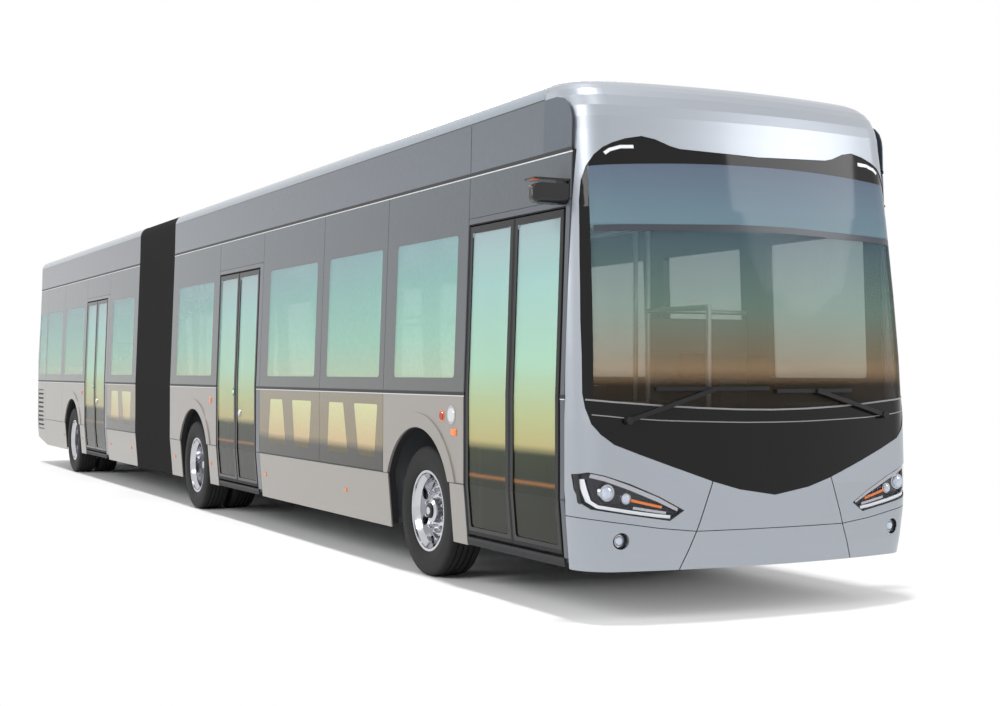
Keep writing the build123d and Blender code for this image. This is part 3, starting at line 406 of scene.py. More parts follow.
def spun(bm, profile, centre, steps, flip=1, index=0):
    # closed profile, rows are (across, radius), spun about Y; across runs along +Y times flip
    part = bmesh.new()
    rows = [part.verts.new((0, flip * across, radius)) for across, radius in profile]
    edges = [part.edges.new(pair) for pair in zip(rows, rows[1:] + rows[:1])]
    bmesh.ops.spin(part, geom=rows + edges, cent=(0, 0, 0), axis=(0, 1, 0), angle=2 * pi, steps=steps,
                   use_merge=True)
    bmesh.ops.remove_doubles(part, verts=part.verts, dist=1e-6)
    bmesh.ops.translate(part, vec=centre, verts=part.verts)
    join(bm, part, index)


def cutAt(part, point, normal):
    bmesh.ops.bisect_plane(part, geom=part.verts[:] + part.edges[:] + part.faces[:], dist=1e-6,
                           plane_co=point, plane_no=normal)


def thicken(part, way):
    made = bmesh.ops.extrude_face_region(part, geom=part.faces[:], use_keep_orig=True)
    verts = [g for g in made["geom"] if isinstance(g, bmesh.types.BMVert)]
    bmesh.ops.translate(part, vec=way, verts=verts)


def sidePatch(bm, outline, side, lift, thick, index=0, windows=(), windowIndex=1, corner=0.03):
    # flat outline in x, z laid on the leaning side wall; windows are quads (x, z) that get their own material
    part = bmesh.new()
    part.faces.new([part.verts.new((x, 0, z)) for x, z in outline])
    for quad in windows:
        for (xa, za), (xb, zb) in zip(quad, quad[1:] + quad[:1]):
            cutAt(part, (xa, 0, za), (zb - za, 0, xa - xb))
    for face in part.faces:
        face.material_index = index
        c = face.calc_center_median()
        for quad in windows:
            turns = [(xb - xa) * (c.z - za) - (zb - za) * (c.x - xa)
                     for (xa, za), (xb, zb) in zip(quad, quad[1:] + quad[:1])]
            if min(turns) > 0 or max(turns) < 0:
                face.material_index = windowIndex
    marked = {v for f in part.faces if f.material_index == windowIndex for v in f.verts} if windows else ()
    if marked:
        bmesh.ops.bevel(part, geom=list(marked), offset=corner, segments=4, profile=0.5, affect="VERTICES",
                        material=index, clamp_overlap=True)
    for level in coach["bends"] + coach["roofCuts"]:
        if min(z for _, z in outline) < level < max(z for _, z in outline):
            cutAt(part, (0, 0, level), (0, 0, 1))
    for v in part.verts:
        v.co.y = side * (sideY(v.co.z) + lift)
    thicken(part, (0, -side * thick, 0))
    join(bm, part)


def nosePatch(bm, outline, lift, thick, index=0, step=0.06, mirrored=True, surface=noseAt, way=1):
    # flat outline in y, z laid on the crowned nose or tail, cut at each step so that it can bend
    rise = 0.1
    part = bmesh.new()
    part.faces.new([part.verts.new((0, y, z)) for y, z in outline])
    bmesh.ops.triangulate(part, faces=part.faces[:])
    ys = [y for y, _ in outline]
    zs = [z for _, z in outline]
    y = step * round(min(ys) / step)
    while y < max(ys):
        cutAt(part, (0, y, 0), (0, 1, 0))
        y += step
    z = rise * round(min(zs) / rise)
    while z < max(zs):
        cutAt(part, (0, 0, z), (0, 0, 1))
        z += rise
    for v in part.verts:
        v.co.x = surface(v.co.y, v.co.z) + way * lift
    thicken(part, (-way * thick, 0, 0))
    if mirrored:
        other = part.copy()
        bmesh.ops.scale(other, vec=(1, -1, 1), verts=other.verts)
        bmesh.ops.reverse_faces(other, faces=other.faces)
        join(bm, other, index)
    join(bm, part, index)


def tailPatch(bm, outline, lift, thick, index=0, step=0.1):
    nosePatch(bm, outline, lift, thick, index, step, False, tailAt, -1)


def ribbon(points, width):
    # closed outline that follows a row of (y, z) points
    outline = []
    for shift in (width / 2, -width / 2):
        row = []
        for k, (y, z) in enumerate(points):
            ya, za = points[max(k - 1, 0)]
            yb, zb = points[min(k + 1, len(points) - 1)]
            length = sqrt((yb - ya) ** 2 + (zb - za) ** 2)
            row.append((y - (zb - za) / length * shift, z + (yb - ya) / length * shift))
        outline += row if shift > 0 else row[::-1]
    return outline


def skin(nodeNames, material):
    for node in nodeNames:
        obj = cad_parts[node]
        for k in range(len(obj.data.materials)):
            obj.data.materials[k] = mats[material]
        if not obj.data.materials:
            obj.data.materials.append(mats[material])


# CAD nodes that stay
skins = {
    "silver": ("front_cap", "nose_panels", "rear_cap"),
    "greige": ("panels_front", "panels_rear"),
    "roof": ("roof_front", "roof_rear"),
    "frameSteel": ("walls_front", "walls_rear", "nose_frame", "chassis_front", "chassis_rear"),
    "floor": ("floor_front", "floor_rear"),
    "iron": ("axle_front", "axle_middle", "axle_rear", "drive_motor", "knuckle_left", "knuckle_right"),
    "black": ("wipers", "driver_desk", "hand_wheel"),
    "glossBlack": ("camera_pods",),
    "screen": ("windscreen",),
    "steel": ["hoop", "poles_front", "poles_rear"] + [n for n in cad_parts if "_shaft_" in n],
    "chrome": [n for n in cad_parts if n.startswith("rim_")],
}
for material, nodeNames in skins.items():
    skin(nodeNames, material)

doorways = {"door_1": (7.545, 8.905), "door_2": (1.490, 2.850), "door_3": (-5.295, -3.935)}
doorBody = {"door_1": "front_car", "door_2": "front_car", "door_3": "rear_car"}
# leaf width, gap to the doorway, frame at the outer edge and at the meeting edge
leafWidth, leafGap, frameOuter, frameMeeting = 0.657, 0.020, 0.042, 0.050
for door, (x0, x1) in doorways.items():
    for tag, edge, way in (("rear", x0 + leafGap, 1), ("front", x1 - leafGap, -1)):
        inner, outer = edge + way * frameOuter, edge + way * (leafWidth - frameMeeting)
        name = f"{door}_leaf_{tag}"
        mats[name] = leafGlass("glass_" + name, *sorted((inner, outer)))
        skin((name,), name)
print("nodes dressed")


# glazing
glazing = {
    "belt": 1.362, "cove": 2.845, "windowLow": 1.46, "windowHigh": 2.455,
    "lowBelt": 1.338, "lowLine": 0.733, "header": 2.555,
    "frontPanes": ((-0.42, 1.48), (2.96, 4.64), (4.64, 6.08), (6.08, 7.535)),
    "frontPanesLeft": ((1.48, 2.96), (7.535, 8.96)),
    "frontWindows": ((-0.155, 1.27), (3.185, 4.49), (4.80, 5.98), (6.29, 7.37)),
    "frontWindowsLeft": ((1.62, 2.85), (7.70, 8.80)),
    "rearPanes": ((-3.8, -2.14), (-6.99, -5.31), (-8.435, -6.99), (-9.1, -8.435)),
    "rearPanesLeft": ((-5.31, -3.8),),
    "rearWindows": ((-3.575, -2.355), (-6.865, -5.475), (-8.40, -7.15), (-9.05, -8.47)),
    "rearWindowsLeft": ((-5.18, -3.90),),
    "frontHeaders": ((1.48, 2.96), (7.535, 8.96)), "rearHeaders": ((-5.31, -3.8),),
    "frontLow": ((2.96, 4.64), (4.64, 6.08)), "rearLow": ((-3.8, -2.14),),
    "frontLowWindows": ((3.23, 3.74, 3.64, 3.30), (3.99, 4.37, 4.43, 3.92),
                        (4.84, 5.32, 5.21, 4.88), (5.56, 5.90, 5.96, 5.46)),
    "rearLowWindows": ((-3.55, -3.07, -3.13, -3.50), (-2.80, -2.44, -2.39, -2.90)),
    "lowWindowZ": (0.832, 1.247), "lowCorner": 0.018, "split": 0.003, "thick": 0.008,
    # half width, z low, z high, lift, thickness, material index
    "tailPanes": ((1.1, 1.58, 2.48, -0.004, 0.008, 0), (0.98, 1.70, 2.38, -0.003, 0.002, 1)),
}


def rectangle(x0, x1, z0, z1):
    return [(x0, z0), (x1, z0), (x1, z1), (x0, z1)]


def glazeCar(car):
    g, bm = glazing, bmesh.new()
    windows = g[car + "Windows"] + g[car + "WindowsLeft"]
    z0, z1 = g["lowWindowZ"]
    for side in (-1, 1):
        for x0, x1 in g[car + "Panes"] + (g[car + "PanesLeft"] if side > 0 else ()):
            openings = [rectangle(a, b, g["windowLow"], g["windowHigh"]) for a, b in windows if x0 < a < x1]
            pane = rectangle(x0 + g["split"], x1 - g["split"], g["belt"], g["cove"])
            sidePatch(bm, pane, side, 0.0, g["thick"], 0, openings)
        for x0, x1 in g[car + "Low"]:
            openings = [[(a, z0), (b, z0), (c, z1), (d, z1)] for a, b, c, d in g[car + "LowWindows"]
                        if x0 < a < x1]
            pane = rectangle(x0 + g["split"], x1 - g["split"], g["lowLine"], g["lowBelt"])
            sidePatch(bm, pane, side, 0.0, g["thick"], 2, openings, 3, g["lowCorner"])
    for x0, x1 in g[car + "Headers"]:
        pane = rectangle(x0 + g["split"], x1 - g["split"], g["header"], g["cove"])
        sidePatch(bm, pane, -1, 0.0, g["thick"])
    return bm


bm = glazeCar("front")
obj = place("glazingFront", bm, ["print", "window", "lowPrintAndReflection", "lowWindow"], "front_car")
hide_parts("glass_front")
bm = glazeCar("rear")
for half, z0, z1, lift, thick, index in glazing["tailPanes"]:
    tailPatch(bm, rectangle(-half, half, z0, z1), lift, thick, index)
obj = place("glazingRear", bm, ["print", "window", "lowPrintAndReflection", "lowWindow"], "rear_car")
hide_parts("glass_rear")
print("glazing ready")


# trim lines on the sides
trim = {
    "front": (-0.42, 8.96), "rear": (-9.1, -2.14),
    # z low, z high, lift, material index: 0 black, 1 bright
    "rows": ((2.846, 2.870, 0.0015, 0), (2.838, 2.846, 0.001, 1),
             (1.338, 1.362, 0.0015, 0), (1.331, 1.338, 0.001, 1)),
    "lowLine": (0.723, 0.731), "thick": 0.006,
    # z low and high of the jambs, of the head over a door and of the rubber strip along the sill
    "jambZ": (0.372, 2.55), "headZ": (2.514, 2.552), "sillZ": (0.352, 0.364), "jambThick": 0.010,
    "jambs": {"front": ((2.853, 2.957), (1.483, 1.487), (8.908, 8.957), (7.538, 7.542)),
              "rear": ((-3.932, -3.803), (-5.307, -5.298))},
    "coveSplits": {"front": (7.538,), "rear": ()}, "coveZ": (2.87, 3.2),
}


def spansWithout(x0, x1, gaps):
    spans, start = [], x0
    for a, b in sorted(gaps):
        if a > start:
            spans.append((start, a))
        start = max(start, b)
    if start < x1:
        spans.append((start, x1))
    return spans


arches = {"front": ((6.18, 7.30), (0.04, 1.16)), "rear": ((-6.76, -5.64),)}
for car, body in (("front", "front_car"), ("rear", "rear_car")):
    x0, x1 = trim[car]
    bm = bmesh.new()
    doors = [v for k, v in doorways.items() if doorBody[k] == body]
    for side in (-1, 1):
        for low, high, lift, index in trim["rows"]:
            gaps = doors if side < 0 and high < 2.0 else []
            for a, b in spansWithout(x0, x1, gaps):
                sidePatch(bm, rectangle(a, b, low, high), side, lift, trim["thick"], index)
        gaps = list(arches[car]) + (doors if side < 0 else [])
        for a, b in spansWithout(x0, x1, gaps):
            sidePatch(bm, rectangle(a, b, *trim["lowLine"]), side, 0.0005, trim["thick"], 0)
        for x in trim["coveSplits"][car]:
            sidePatch(bm, rectangle(x - 0.003, x + 0.003, *trim["coveZ"]), side, 0.0008, 0.004, 0)
    for a, b in trim["jambs"][car]:
        sidePatch(bm, rectangle(a, b, *trim["jambZ"]), -1, 0.0, trim["jambThick"], 2)
    for a, b in doors:
        sidePatch(bm, rectangle(a - 0.004, b + 0.004, *trim["headZ"]), -1, 0.0, trim["jambThick"], 2)
        sidePatch(bm, rectangle(a + 0.004, b - 0.004, *trim["sillZ"]), -1, 0.0006, 0.003, 0)
    place(f"trim{car.capitalize()}", bm, ["black", "brightTrim", "slate"], body)
print("trim ready")


# front end details
front = {
    # y, z rows of the screen's printed lines, from the middle to the left
    "thinHigh": ((0, 1.269), (0.26, 1.273), (0.526, 1.284), (0.74, 1.296), (0.915, 1.310), (1.08, 1.322),
                 (1.215, 1.336)),
    "thinLow": ((0, 1.192), (0.20, 1.193), (0.367, 1.197), (0.60, 1.204), (0.79, 1.211), (1.02, 1.228),
                (1.19, 1.246)),
    "bandLine": ((0, 2.394), (0.20, 2.393), (0.64, 2.380), (0.95, 2.372), (1.135, 2.364)),
    "marker": ((0.867, 2.872), (0.95, 2.868), (1.02, 2.847), (1.052, 2.824)),
    # line, width, material index
    "lines": (("thinHigh", 0.010, 0), ("thinLow", 0.006, 0), ("bandLine", 0.040, 1)),
    "lineLift": -0.0018, "lineThick": 0.004,
}
bm = bmesh.new()
for line, width, index in front["lines"]:
    whole = [(-y, z) for y, z in front[line][:0:-1]] + list(front[line])
    nosePatch(bm, ribbon(whole, width), front["lineLift"], front["lineThick"], index, mirrored=False)
nosePatch(bm, ribbon(front["marker"], 0.012), 0.0005, 0.006, 2)
nosePatch(bm, ribbon(front["marker"], 0.022), -0.001, 0.005, 3)
place("screenLines", bm, ["lineGrey", "bandPrint", "whiteLens", "brightTrim"], "front_car")

lampParts = {
    # y, z rows
    "outline": ((1.262, 0.889), (1.212, 0.905), (1.140, 0.888), (0.987, 0.836), (0.799, 0.755),
                (0.640, 0.670), (0.733, 0.609), (0.987, 0.648), (1.200, 0.684), (1.240, 0.720),
                (1.258, 0.800)),
    "guide": ((1.232, 0.862), (1.222, 0.80), (1.205, 0.732), (1.165, 0.700), (0.987, 0.668), (0.80, 0.640),
              (0.725, 0.632)),
    "brow": ((1.200, 0.885), (1.130, 0.866), (0.985, 0.812), (0.80, 0.735), (0.675, 0.676)),
    "amber": ((0.965, 0.735), (0.87, 0.712), (0.775, 0.690)),
    "comb": ((0.955, 0.690), (0.85, 0.672), (0.745, 0.655)),
    # part, width, lift, thickness, material index
    "strips": (("guide", 0.020, -0.014, 0.014, 2), ("brow", 0.026, -0.014, 0.012, 1),
               ("amber", 0.016, -0.022, 0.014, 3), ("comb", 0.016, -0.026, 0.014, 1)),
    # y, z, radius of the projectors
    "projectors": ((1.110, 0.782, 0.055), (0.995, 0.745, 0.036)),
    "depth": 0.045, "edgeLimit": 1.248, "projectorDepth": 0.052, "projectorLength": 0.022,
}
bm = bmesh.new()
nosePatch(bm, list(lampParts["outline"]), -lampParts["depth"], 0.006, 0)
edge = [(min(y, lampParts["edgeLimit"]), z) for y, z in lampParts["outline"] + lampParts["outline"][:1]]
for pair in zip(edge, edge[1:]):
    nosePatch(bm, ribbon(pair, 0.012), -0.004, 0.040, 0)
for name, width, lift, thick, index in lampParts["strips"]:
    nosePatch(bm, ribbon(lampParts[name], width), lift, thick, index)
for y, z, radius in lampParts["projectors"]:
    for side in (-1, 1):
        x0 = noseAt(y, z) - lampParts["projectorDepth"]
        x1 = x0 + lampParts["projectorLength"]
        tube(bm, (x0, side * y, z), (x1, side * y, z), radius, 28, radius * 0.92, 1)
        part = bmesh.new()
        bmesh.ops.create_uvsphere(part, u_segments=24, v_segments=14, radius=radius * 0.72)
        bmesh.ops.scale(part, vec=(0.45, 1, 1), verts=part.verts)
        bmesh.ops.translate(part, vec=(x1, side * y, z), verts=part.verts)
        join(bm, part, 4)
fog = {
    "y": 1.034, "z": 0.495, "ringBack": 0.022,
    # across, radius of the ring
    "ring": ((0.000, 0.036), (0.012, 0.044), (0.006, 0.0485), (-0.030, 0.0485), (-0.030, 0.036)),
    # from, to, radius, segments, end radius, material index; the first two are places behind the nose
    "tubes": ((0.060, 0.030, 0.044, 28, 0.044, 1), (0.030, 0.024, 0.030, 24, 0.022, 4)),
}
for side in (-1, 1):
    x, y, z = noseAt(fog["y"], fog["z"]), side * fog["y"], fog["z"]
    # the ring is spun about Y, then turned to look forwards
    part = bmesh.new()
    spun(part, fog["ring"], (0, 0, 0), 32)
    turn = Matrix.Translation((x - fog["ringBack"], y, z)) @ Matrix.Rotation(-pi / 2, 4, "Z")
    bmesh.ops.transform(part, matrix=turn, verts=part.verts)
    join(bm, part)
    for start, end, radius, segments, endRadius, index in fog["tubes"]:
        tube(bm, (x - start, y, z), (x - end, y, z), radius, segments, endRadius, index)
lampLooks = ["glossBlack", "chrome", "whiteLens", "amber", "projector"]
obj = place("frontLamps", bm, lampLooks, "front_car", doubles=1e-6)
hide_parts("front_lamps")
bm = bmesh.new()
nosePatch(bm, list(lampParts["outline"]), -0.002, 0.003, 0)
place("frontLampCovers", bm, ["lens"], "front_car")

# dark ends of the cove panels on the front cap, with a round upper corner
bm = bmesh.new()
corner = [(8.60, 2.870), (8.955, 2.870), (8.955, 3.02), (8.948, 3.07), (8.925, 3.12), (8.885, 3.16),
          (8.83, 3.188), (8.76, 3.203), (8.60, 3.205)]
for side in (-1, 1):
    sidePatch(bm, corner, side, 0.003, 0.006, 0)
place("coveCorners", bm, ["coveDark"], "front_car")

# amber tips of the camera wings; the left wing stands further back
wings = {"right": (-1, 8.85, 8.946), "left": (1, 8.59, 8.686), "y": (1.425, 1.4646), "z": (2.6585, 2.6755)}
bm = bmesh.new()
for side, x0, x1 in (wings["right"], wings["left"]):
    y0, y1 = sorted(side * y for y in wings["y"])
    block(bm, (x0, y0, wings["z"][0]), (x1, y1, wings["z"][1]), 0.004, 2)
place("wingTips", bm, ["amber"], "front_car")
print("front details ready")


# lamps and buttons on the sides
sideDots = {
    # x of the small square lamps, which are on both sides
    "frontSquares": (3.11, 5.24, -0.23, 1.24), "rearSquares": (-2.42, -3.62, -5.49, -6.90),
    "squareZ": 0.53, "squareHalf": (0.022, 0.006, 0.017),
    # x, z, radius, sides, how far it stands out, material index, material index of the ring
    "front": ((1.27, 1.20, 0.036, (-1, 1), 0.008, 0, 2), (7.34, 1.20, 0.055, (-1,), 0.008, 1, 2),
              (7.18, 1.19, 0.034, (-1,), 0.009, 3, 0)),
    "rear": ((-5.50, 1.20, 0.030, (-1, 1), 0.008, 0, 2),),
    # lower lamp by the first door: x from and to, z from and to
    "low": (7.335, 7.425, 1.055, 1.105), "lowZ": 1.08,
}


def disc(bm, x, z, side, radius, proud, index, ring):
    y = side * (sideY(z) + 0.0005)
    tube(bm, (x, y - side * 0.004, z), (x, y + side * proud, z), radius, 28, radius * 0.86, index)
    tube(bm, (x, y - side * 0.004, z), (x, y + side * 0.0025, z), radius * 1.22, 28, index=ring)


for car, body in (("front", "front_car"), ("rear", "rear_car")):
    bm = bmesh.new()
    dx, dy, dz = sideDots["squareHalf"]
    z = sideDots["squareZ"]
    for x in sideDots[car + "Squares"]:
        for y in (-sideY(z), sideY(z)):
            block(bm, (x - dx, y - dy, z - dz), (x + dx, y + dy, z + dz), 0.004, 2)
    for x, z, radius, sides, proud, index, ring in sideDots[car]:
        for side in sides:
            disc(bm, x, z, side, radius, proud, index, ring)
    if car == "front":
        x0, x1, z0, z1 = sideDots["low"]
        y = -sideY(sideDots["lowZ"])
        block(bm, (x0, y - 0.008, z0), (x1, y + 0.006, z1), 0.01, 3)
    place(f"sideLamps{car.capitalize()}", bm, ["amber", "brightTrim", "steel", "red"], body)

# door buttons: x, z, leaf, material index
buttons = {"door_2": ((2.105, 1.30, "rear", 0), (2.305, 1.09, "front", 1)),
           "door_3": ((-4.680, 1.30, "rear", 0), (-4.480, 1.09, "front", 1))}
for door, rows in buttons.items():
    for x, z, tag, index in rows:
        bm = bmesh.new()
        y = -sideY(z)
        tube(bm, (x, y + 0.008, z), (x, y - 0.004, z), 0.036, 28, 0.034, index)
        tube(bm, (x, y - 0.003, z), (x, y - 0.007, z), 0.022, 24, 0.020, 2)
        looks = ["green", "steel", "brightTrim"]
        place(f"button_{door}_{tag}", bm, looks, f"{door}_leaf_{tag}")

# seals along the edges and the foot of each door leaf: z low and high
seals = {"edgeZ": (0.395, 2.490), "footZ": (0.394, 0.415), "inset": 0.012}
for door, (x0, x1) in doorways.items():
    for tag, edge, way in (("rear", x0 + leafGap, 1), ("front", x1 - leafGap, -1)):
        bm = bmesh.new()
        meeting = edge + way * leafWidth
        for a, b in ((edge - way * 0.001, edge + way * 0.010),
                     (meeting - way * seals["inset"], meeting + way * 0.0012)):
            sidePatch(bm, rectangle(min(a, b), max(a, b), *seals["edgeZ"]), -1, 0.0008, 0.020, 0)
        a, b = min(edge, meeting) + seals["inset"], max(edge, meeting) - seals["inset"]
        sidePatch(bm, rectangle(a, b, *seals["footZ"]), -1, 0.001, 0.006, 0)
        place(f"seal_{door}_{tag}", bm, ["rubber"], f"{door}_leaf_{tag}")
print("side details ready")


# wheels
wheel = {
    "axles": {"front": 6.74, "middle": 0.6, "rear": -6.2}, "height": 0.478,
    "frontY": 1.062, "twinY": (1.105, 0.790), "steps": 88,
    # across, radius of half the tyre, from the bead to the tread
    "half": ((0.112, 0.288), (0.113, 0.298), (0.122, 0.306), (0.127, 0.312), (0.1335, 0.340), (0.1345, 0.345),
             (0.1355, 0.347), (0.1372, 0.378), (0.1372, 0.392), (0.1355, 0.420), (0.133, 0.434),
             (0.1335, 0.440), (0.130, 0.452), (0.124, 0.466), (0.114, 0.4745), (0.098, 0.4765)),
    "grooves": (0.066, 0.022), "grooveHalf": 0.006, "grooveDepth": 0.013, "crown": 0.4775,
    # faces on which the nuts sit and the hubs end, measured from the wheel's middle, and the cap's radius
    "frontFace": 0.032, "twinFace": -0.1275, "frontHub": 0.096, "twinHub": 0.030, "frontCap": 0.056,
    "twinCap": 0.078, "nuts": 10, "nutCircle": 0.150, "nutRadius": 0.0155,
    # washer, nut and stud: from, to, radius over the nut's radius, segments
    "nutParts": ((-0.002, 0.006, 1.35, 16), (0.004, 0.030, 1, 6), (0.028, 0.040, 0.62, 12)),
}


def tyreProfile():
    w = wheel
    rows = list(w["half"])
    for across in w["grooves"] + tuple(-a for a in w["grooves"][::-1]):
        h, r, deep = w["grooveHalf"], w["crown"], w["crown"] - w["grooveDepth"]
        rows += [(across + h, r), (across + h * 0.6, deep), (across - h * 0.6, deep), (across - h, r)]
    rows += [(-across, radius) for across, radius in w["half"][::-1]]
    return rows


for axle, x in wheel["axles"].items():
    for name, side in (("left", 1), ("right", -1)):
        body = f"wheel_{axle}_{name}"
        bm = bmesh.new()
        for y in (wheel["frontY"],) if axle == "front" else wheel["twinY"]:
            spun(bm, tyreProfile(), (x, side * y, wheel["height"]), wheel["steps"])
        obj = place(f"tyre_{axle}_{name}_rubber", bm, ["tyre"], body, 40, 1e-6)
        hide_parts(f"tyre_{axle}_{name}")
        bm = bmesh.new()
        kind = "front" if axle == "front" else "twin"
        middle, z = wheel["frontY"] if kind == "front" else wheel["twinY"][0], wheel["height"]
        base, hubEnd, capR = middle + wheel[kind + "Face"], middle + wheel[kind + "Hub"], wheel[kind + "Cap"]
        for k in range(wheel["nuts"]):
            angle = 2 * pi * (k + 0.5) / wheel["nuts"]
            nx, nz = x + wheel["nutCircle"] * cos(angle), z + wheel["nutCircle"] * sin(angle)
            for start, end, factor, segments in wheel["nutParts"]:
                tube(bm, (nx, side * (base + start), nz), (nx, side * (base + end), nz),
                     wheel["nutRadius"] * factor, segments)
        spun(bm, ((0.0, 0.0), (0.016, 0.0), (0.016, capR - 0.014), (0.010, capR), (0.0, capR)),
             (x, side * (hubEnd - 0.001), z), 36, side, 1)
        tube(bm, (x, side * (hubEnd + 0.012), z), (x, side * (hubEnd + 0.019), z), capR * 0.55, 32,
             capR * 0.5)
        # valve
        tube(bm, (x + 0.232, side * (base + 0.010), z + 0.06), (x + 0.226, side * (base + 0.055), z + 0.058),
             0.005, 10)
        place(f"wheelNuts_{axle}_{name}", bm, ["chrome", "hubDark"], body, 35, 1e-6)
print("wheels ready")


# bellows
bellows = {"front": -0.422, "rear": -2.138, "pleats": 40, "depth": 0.013, "outer": 0.003, "thick": 0.005,
           "low": 0.306, "middleZ": 1.8}


def crossPoints(inset):
    b, c = bellows, coach
    radius = c["roofRadius"] - inset
    centreY, centreZ = c["side"][-1][1] - c["roofRadius"], c["roofEdge"]
    left = [(sideY(z) - inset, z) for z in (b["low"],) + c["bends"]]
    for k in (1, 2, 3, 4):
        left.append((centreY + radius * cos(k * pi / 8), centreZ + radius * sin(k * pi / 8)))
    return left + [(-y, z) for y, z in left[::-1]]


bm = bmesh.new()
rows = 2 * bellows["pleats"]
points = crossPoints(bellows["outer"])
ring = [bm.verts.new((bellows["front"], y, z)) for y, z in points]
edges = [bm.edges.new(pair) for pair in zip(ring, ring[1:])]
for k in range(1, rows + 1):
    made = bmesh.ops.extrude_edge_only(bm, edges=edges)["geom"]
    edges = [g for g in made if isinstance(g, bmesh.types.BMEdge)]
    verts = {v for e in edges for v in e.verts}
    inset = bellows["outer"] + (bellows["depth"] if k % 2 else 0)
    # both rows are sorted by their angle round the middle, so that each point gets its own target
    order = sorted(verts, key=lambda v: atan2(v.co.z - bellows["middleZ"], v.co.y))
    target = sorted(crossPoints(inset), key=lambda p: atan2(p[1] - bellows["middleZ"], p[0]))
    x = bellows["front"] + (bellows["rear"] - bellows["front"]) * k / rows
    for v, (y, z) in zip(order, target):
        v.co = (x, y, z)
bmesh.ops.recalc_face_normals(bm, faces=bm.faces)
bmesh.ops.solidify(bm, geom=bm.faces[:], thickness=bellows["thick"])
obj = place("bellowsCloth", bm, ["bellows"], None, 30)
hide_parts("bellows")
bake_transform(obj)
print("bellows ready")


# seats and saloon
floorZ, ceilingZ = 0.37, 2.642
saloon = {
    # x, y, z under each double seat
    "front": [(x, -0.7, floorZ) for x in (3.36, 4.09, 4.88, 5.7)]
    + [(x, 0.7, floorZ) for x in (1.7, 2.5, 3.3, 4.1, 4.9, 5.7)],
    "rear": [(x, -0.7, floorZ) for x in (-2.56, -3.3, -7.4, -8.2)]
    + [(x, 0.7, floorZ) for x in (-2.6, -3.4, -4.2, -5.0, -7.4, -8.2)]
    + [(-8.8, y, 0.50) for y in (-0.66, 0.66)],
    "width": 0.425, "apart": 0.444, "lean": -9.5,
    # shell and pad: x low, x high, inset from the width, z low, z high, bevel, material index
    "cushion": ((-0.155, 0.245, 0, 0.385, 0.425, 0.016, 0), (-0.125, 0.235, 0.025, 0.42, 0.448, 0.012, 1)),
    "back": ((-0.030, 0.006, 0, 0, 0.60, 0.016, 0), (0.004, 0.026, 0.03, 0.03, 0.50, 0.010, 1)),
    # post and frame under the cushions: x low, x high, y low, y high, z low, z high
    "frame": ((-0.058, 0.058, -0.06, 0.06, 0, 0.39), (-0.10, 0.16, -0.40, 0.40, 0.36, 0.388)),
}


def bench(bm, x, y, z):
    d, w = saloon, saloon["width"] / 2
    for c in (y - d["apart"] / 2, y + d["apart"] / 2):
        for x0, x1, inset, z0, z1, bevel, index in d["cushion"]:
            block(bm, (x + x0, c - w + inset, z + z0), (x + x1, c + w - inset, z + z1), bevel, 3, index)
        lean = Matrix.Translation((x - 0.18, c, z + 0.42)) @ Matrix.Rotation(radians(d["lean"]), 4, "Y")
        for x0, x1, inset, z0, z1, bevel, index in d["back"]:
            block(bm, (x0, -w + inset, z0), (x1, w - inset, z1), bevel, 3, index, lean)
        grip = lean @ Vector((-0.012, 0, 0.592))
        tube(bm, (grip.x, c - 0.12, grip.z), (grip.x, c + 0.12, grip.z), 0.012, 10, index=2)
    for x0, x1, y0, y1, z0, z1 in d["frame"]:
        block(bm, (x + x0, y + y0, z + z0), (x + x1, y + y1, z + z1), 0.006, 1, 2)


for car in ("front", "rear"):
    bm = bmesh.new()
    for spot in saloon[car]:
        bench(bm, *spot)
    looks = ["seatShell", "seatCloth", "steel"]
    obj = place(f"saloonSeats{car.capitalize()}", bm, looks, f"{car}_car", 50)
    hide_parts(f"seats_{car}")

# driver's seat: pedestal, cushion, back and head rest
bm = bmesh.new()
x, y, z = 7.88, 0.64, floorZ
block(bm, (x - 0.17, y - 0.19, z), (x + 0.17, y + 0.19, z + 0.33), 0.02, 2, 1)
block(bm, (x - 0.235, y - 0.245, z + 0.335), (x + 0.245, y + 0.245, z + 0.455), 0.045, 5)
lean = Matrix.Translation((x - 0.24, y, z + 0.44)) @ Matrix.Rotation(radians(-11.5), 4, "Y")
block(bm, (-0.055, -0.235, 0), (0.045, 0.235, 0.66), 0.045, 5, 0, lean)
block(bm, (-0.045, -0.125, 0.665), (0.035, 0.125, 0.865), 0.035, 5, 0, lean)
obj = place("driverSeatPads", bm, ["driverCloth", "desk"], "front_car", 50)
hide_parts("driver_seat")

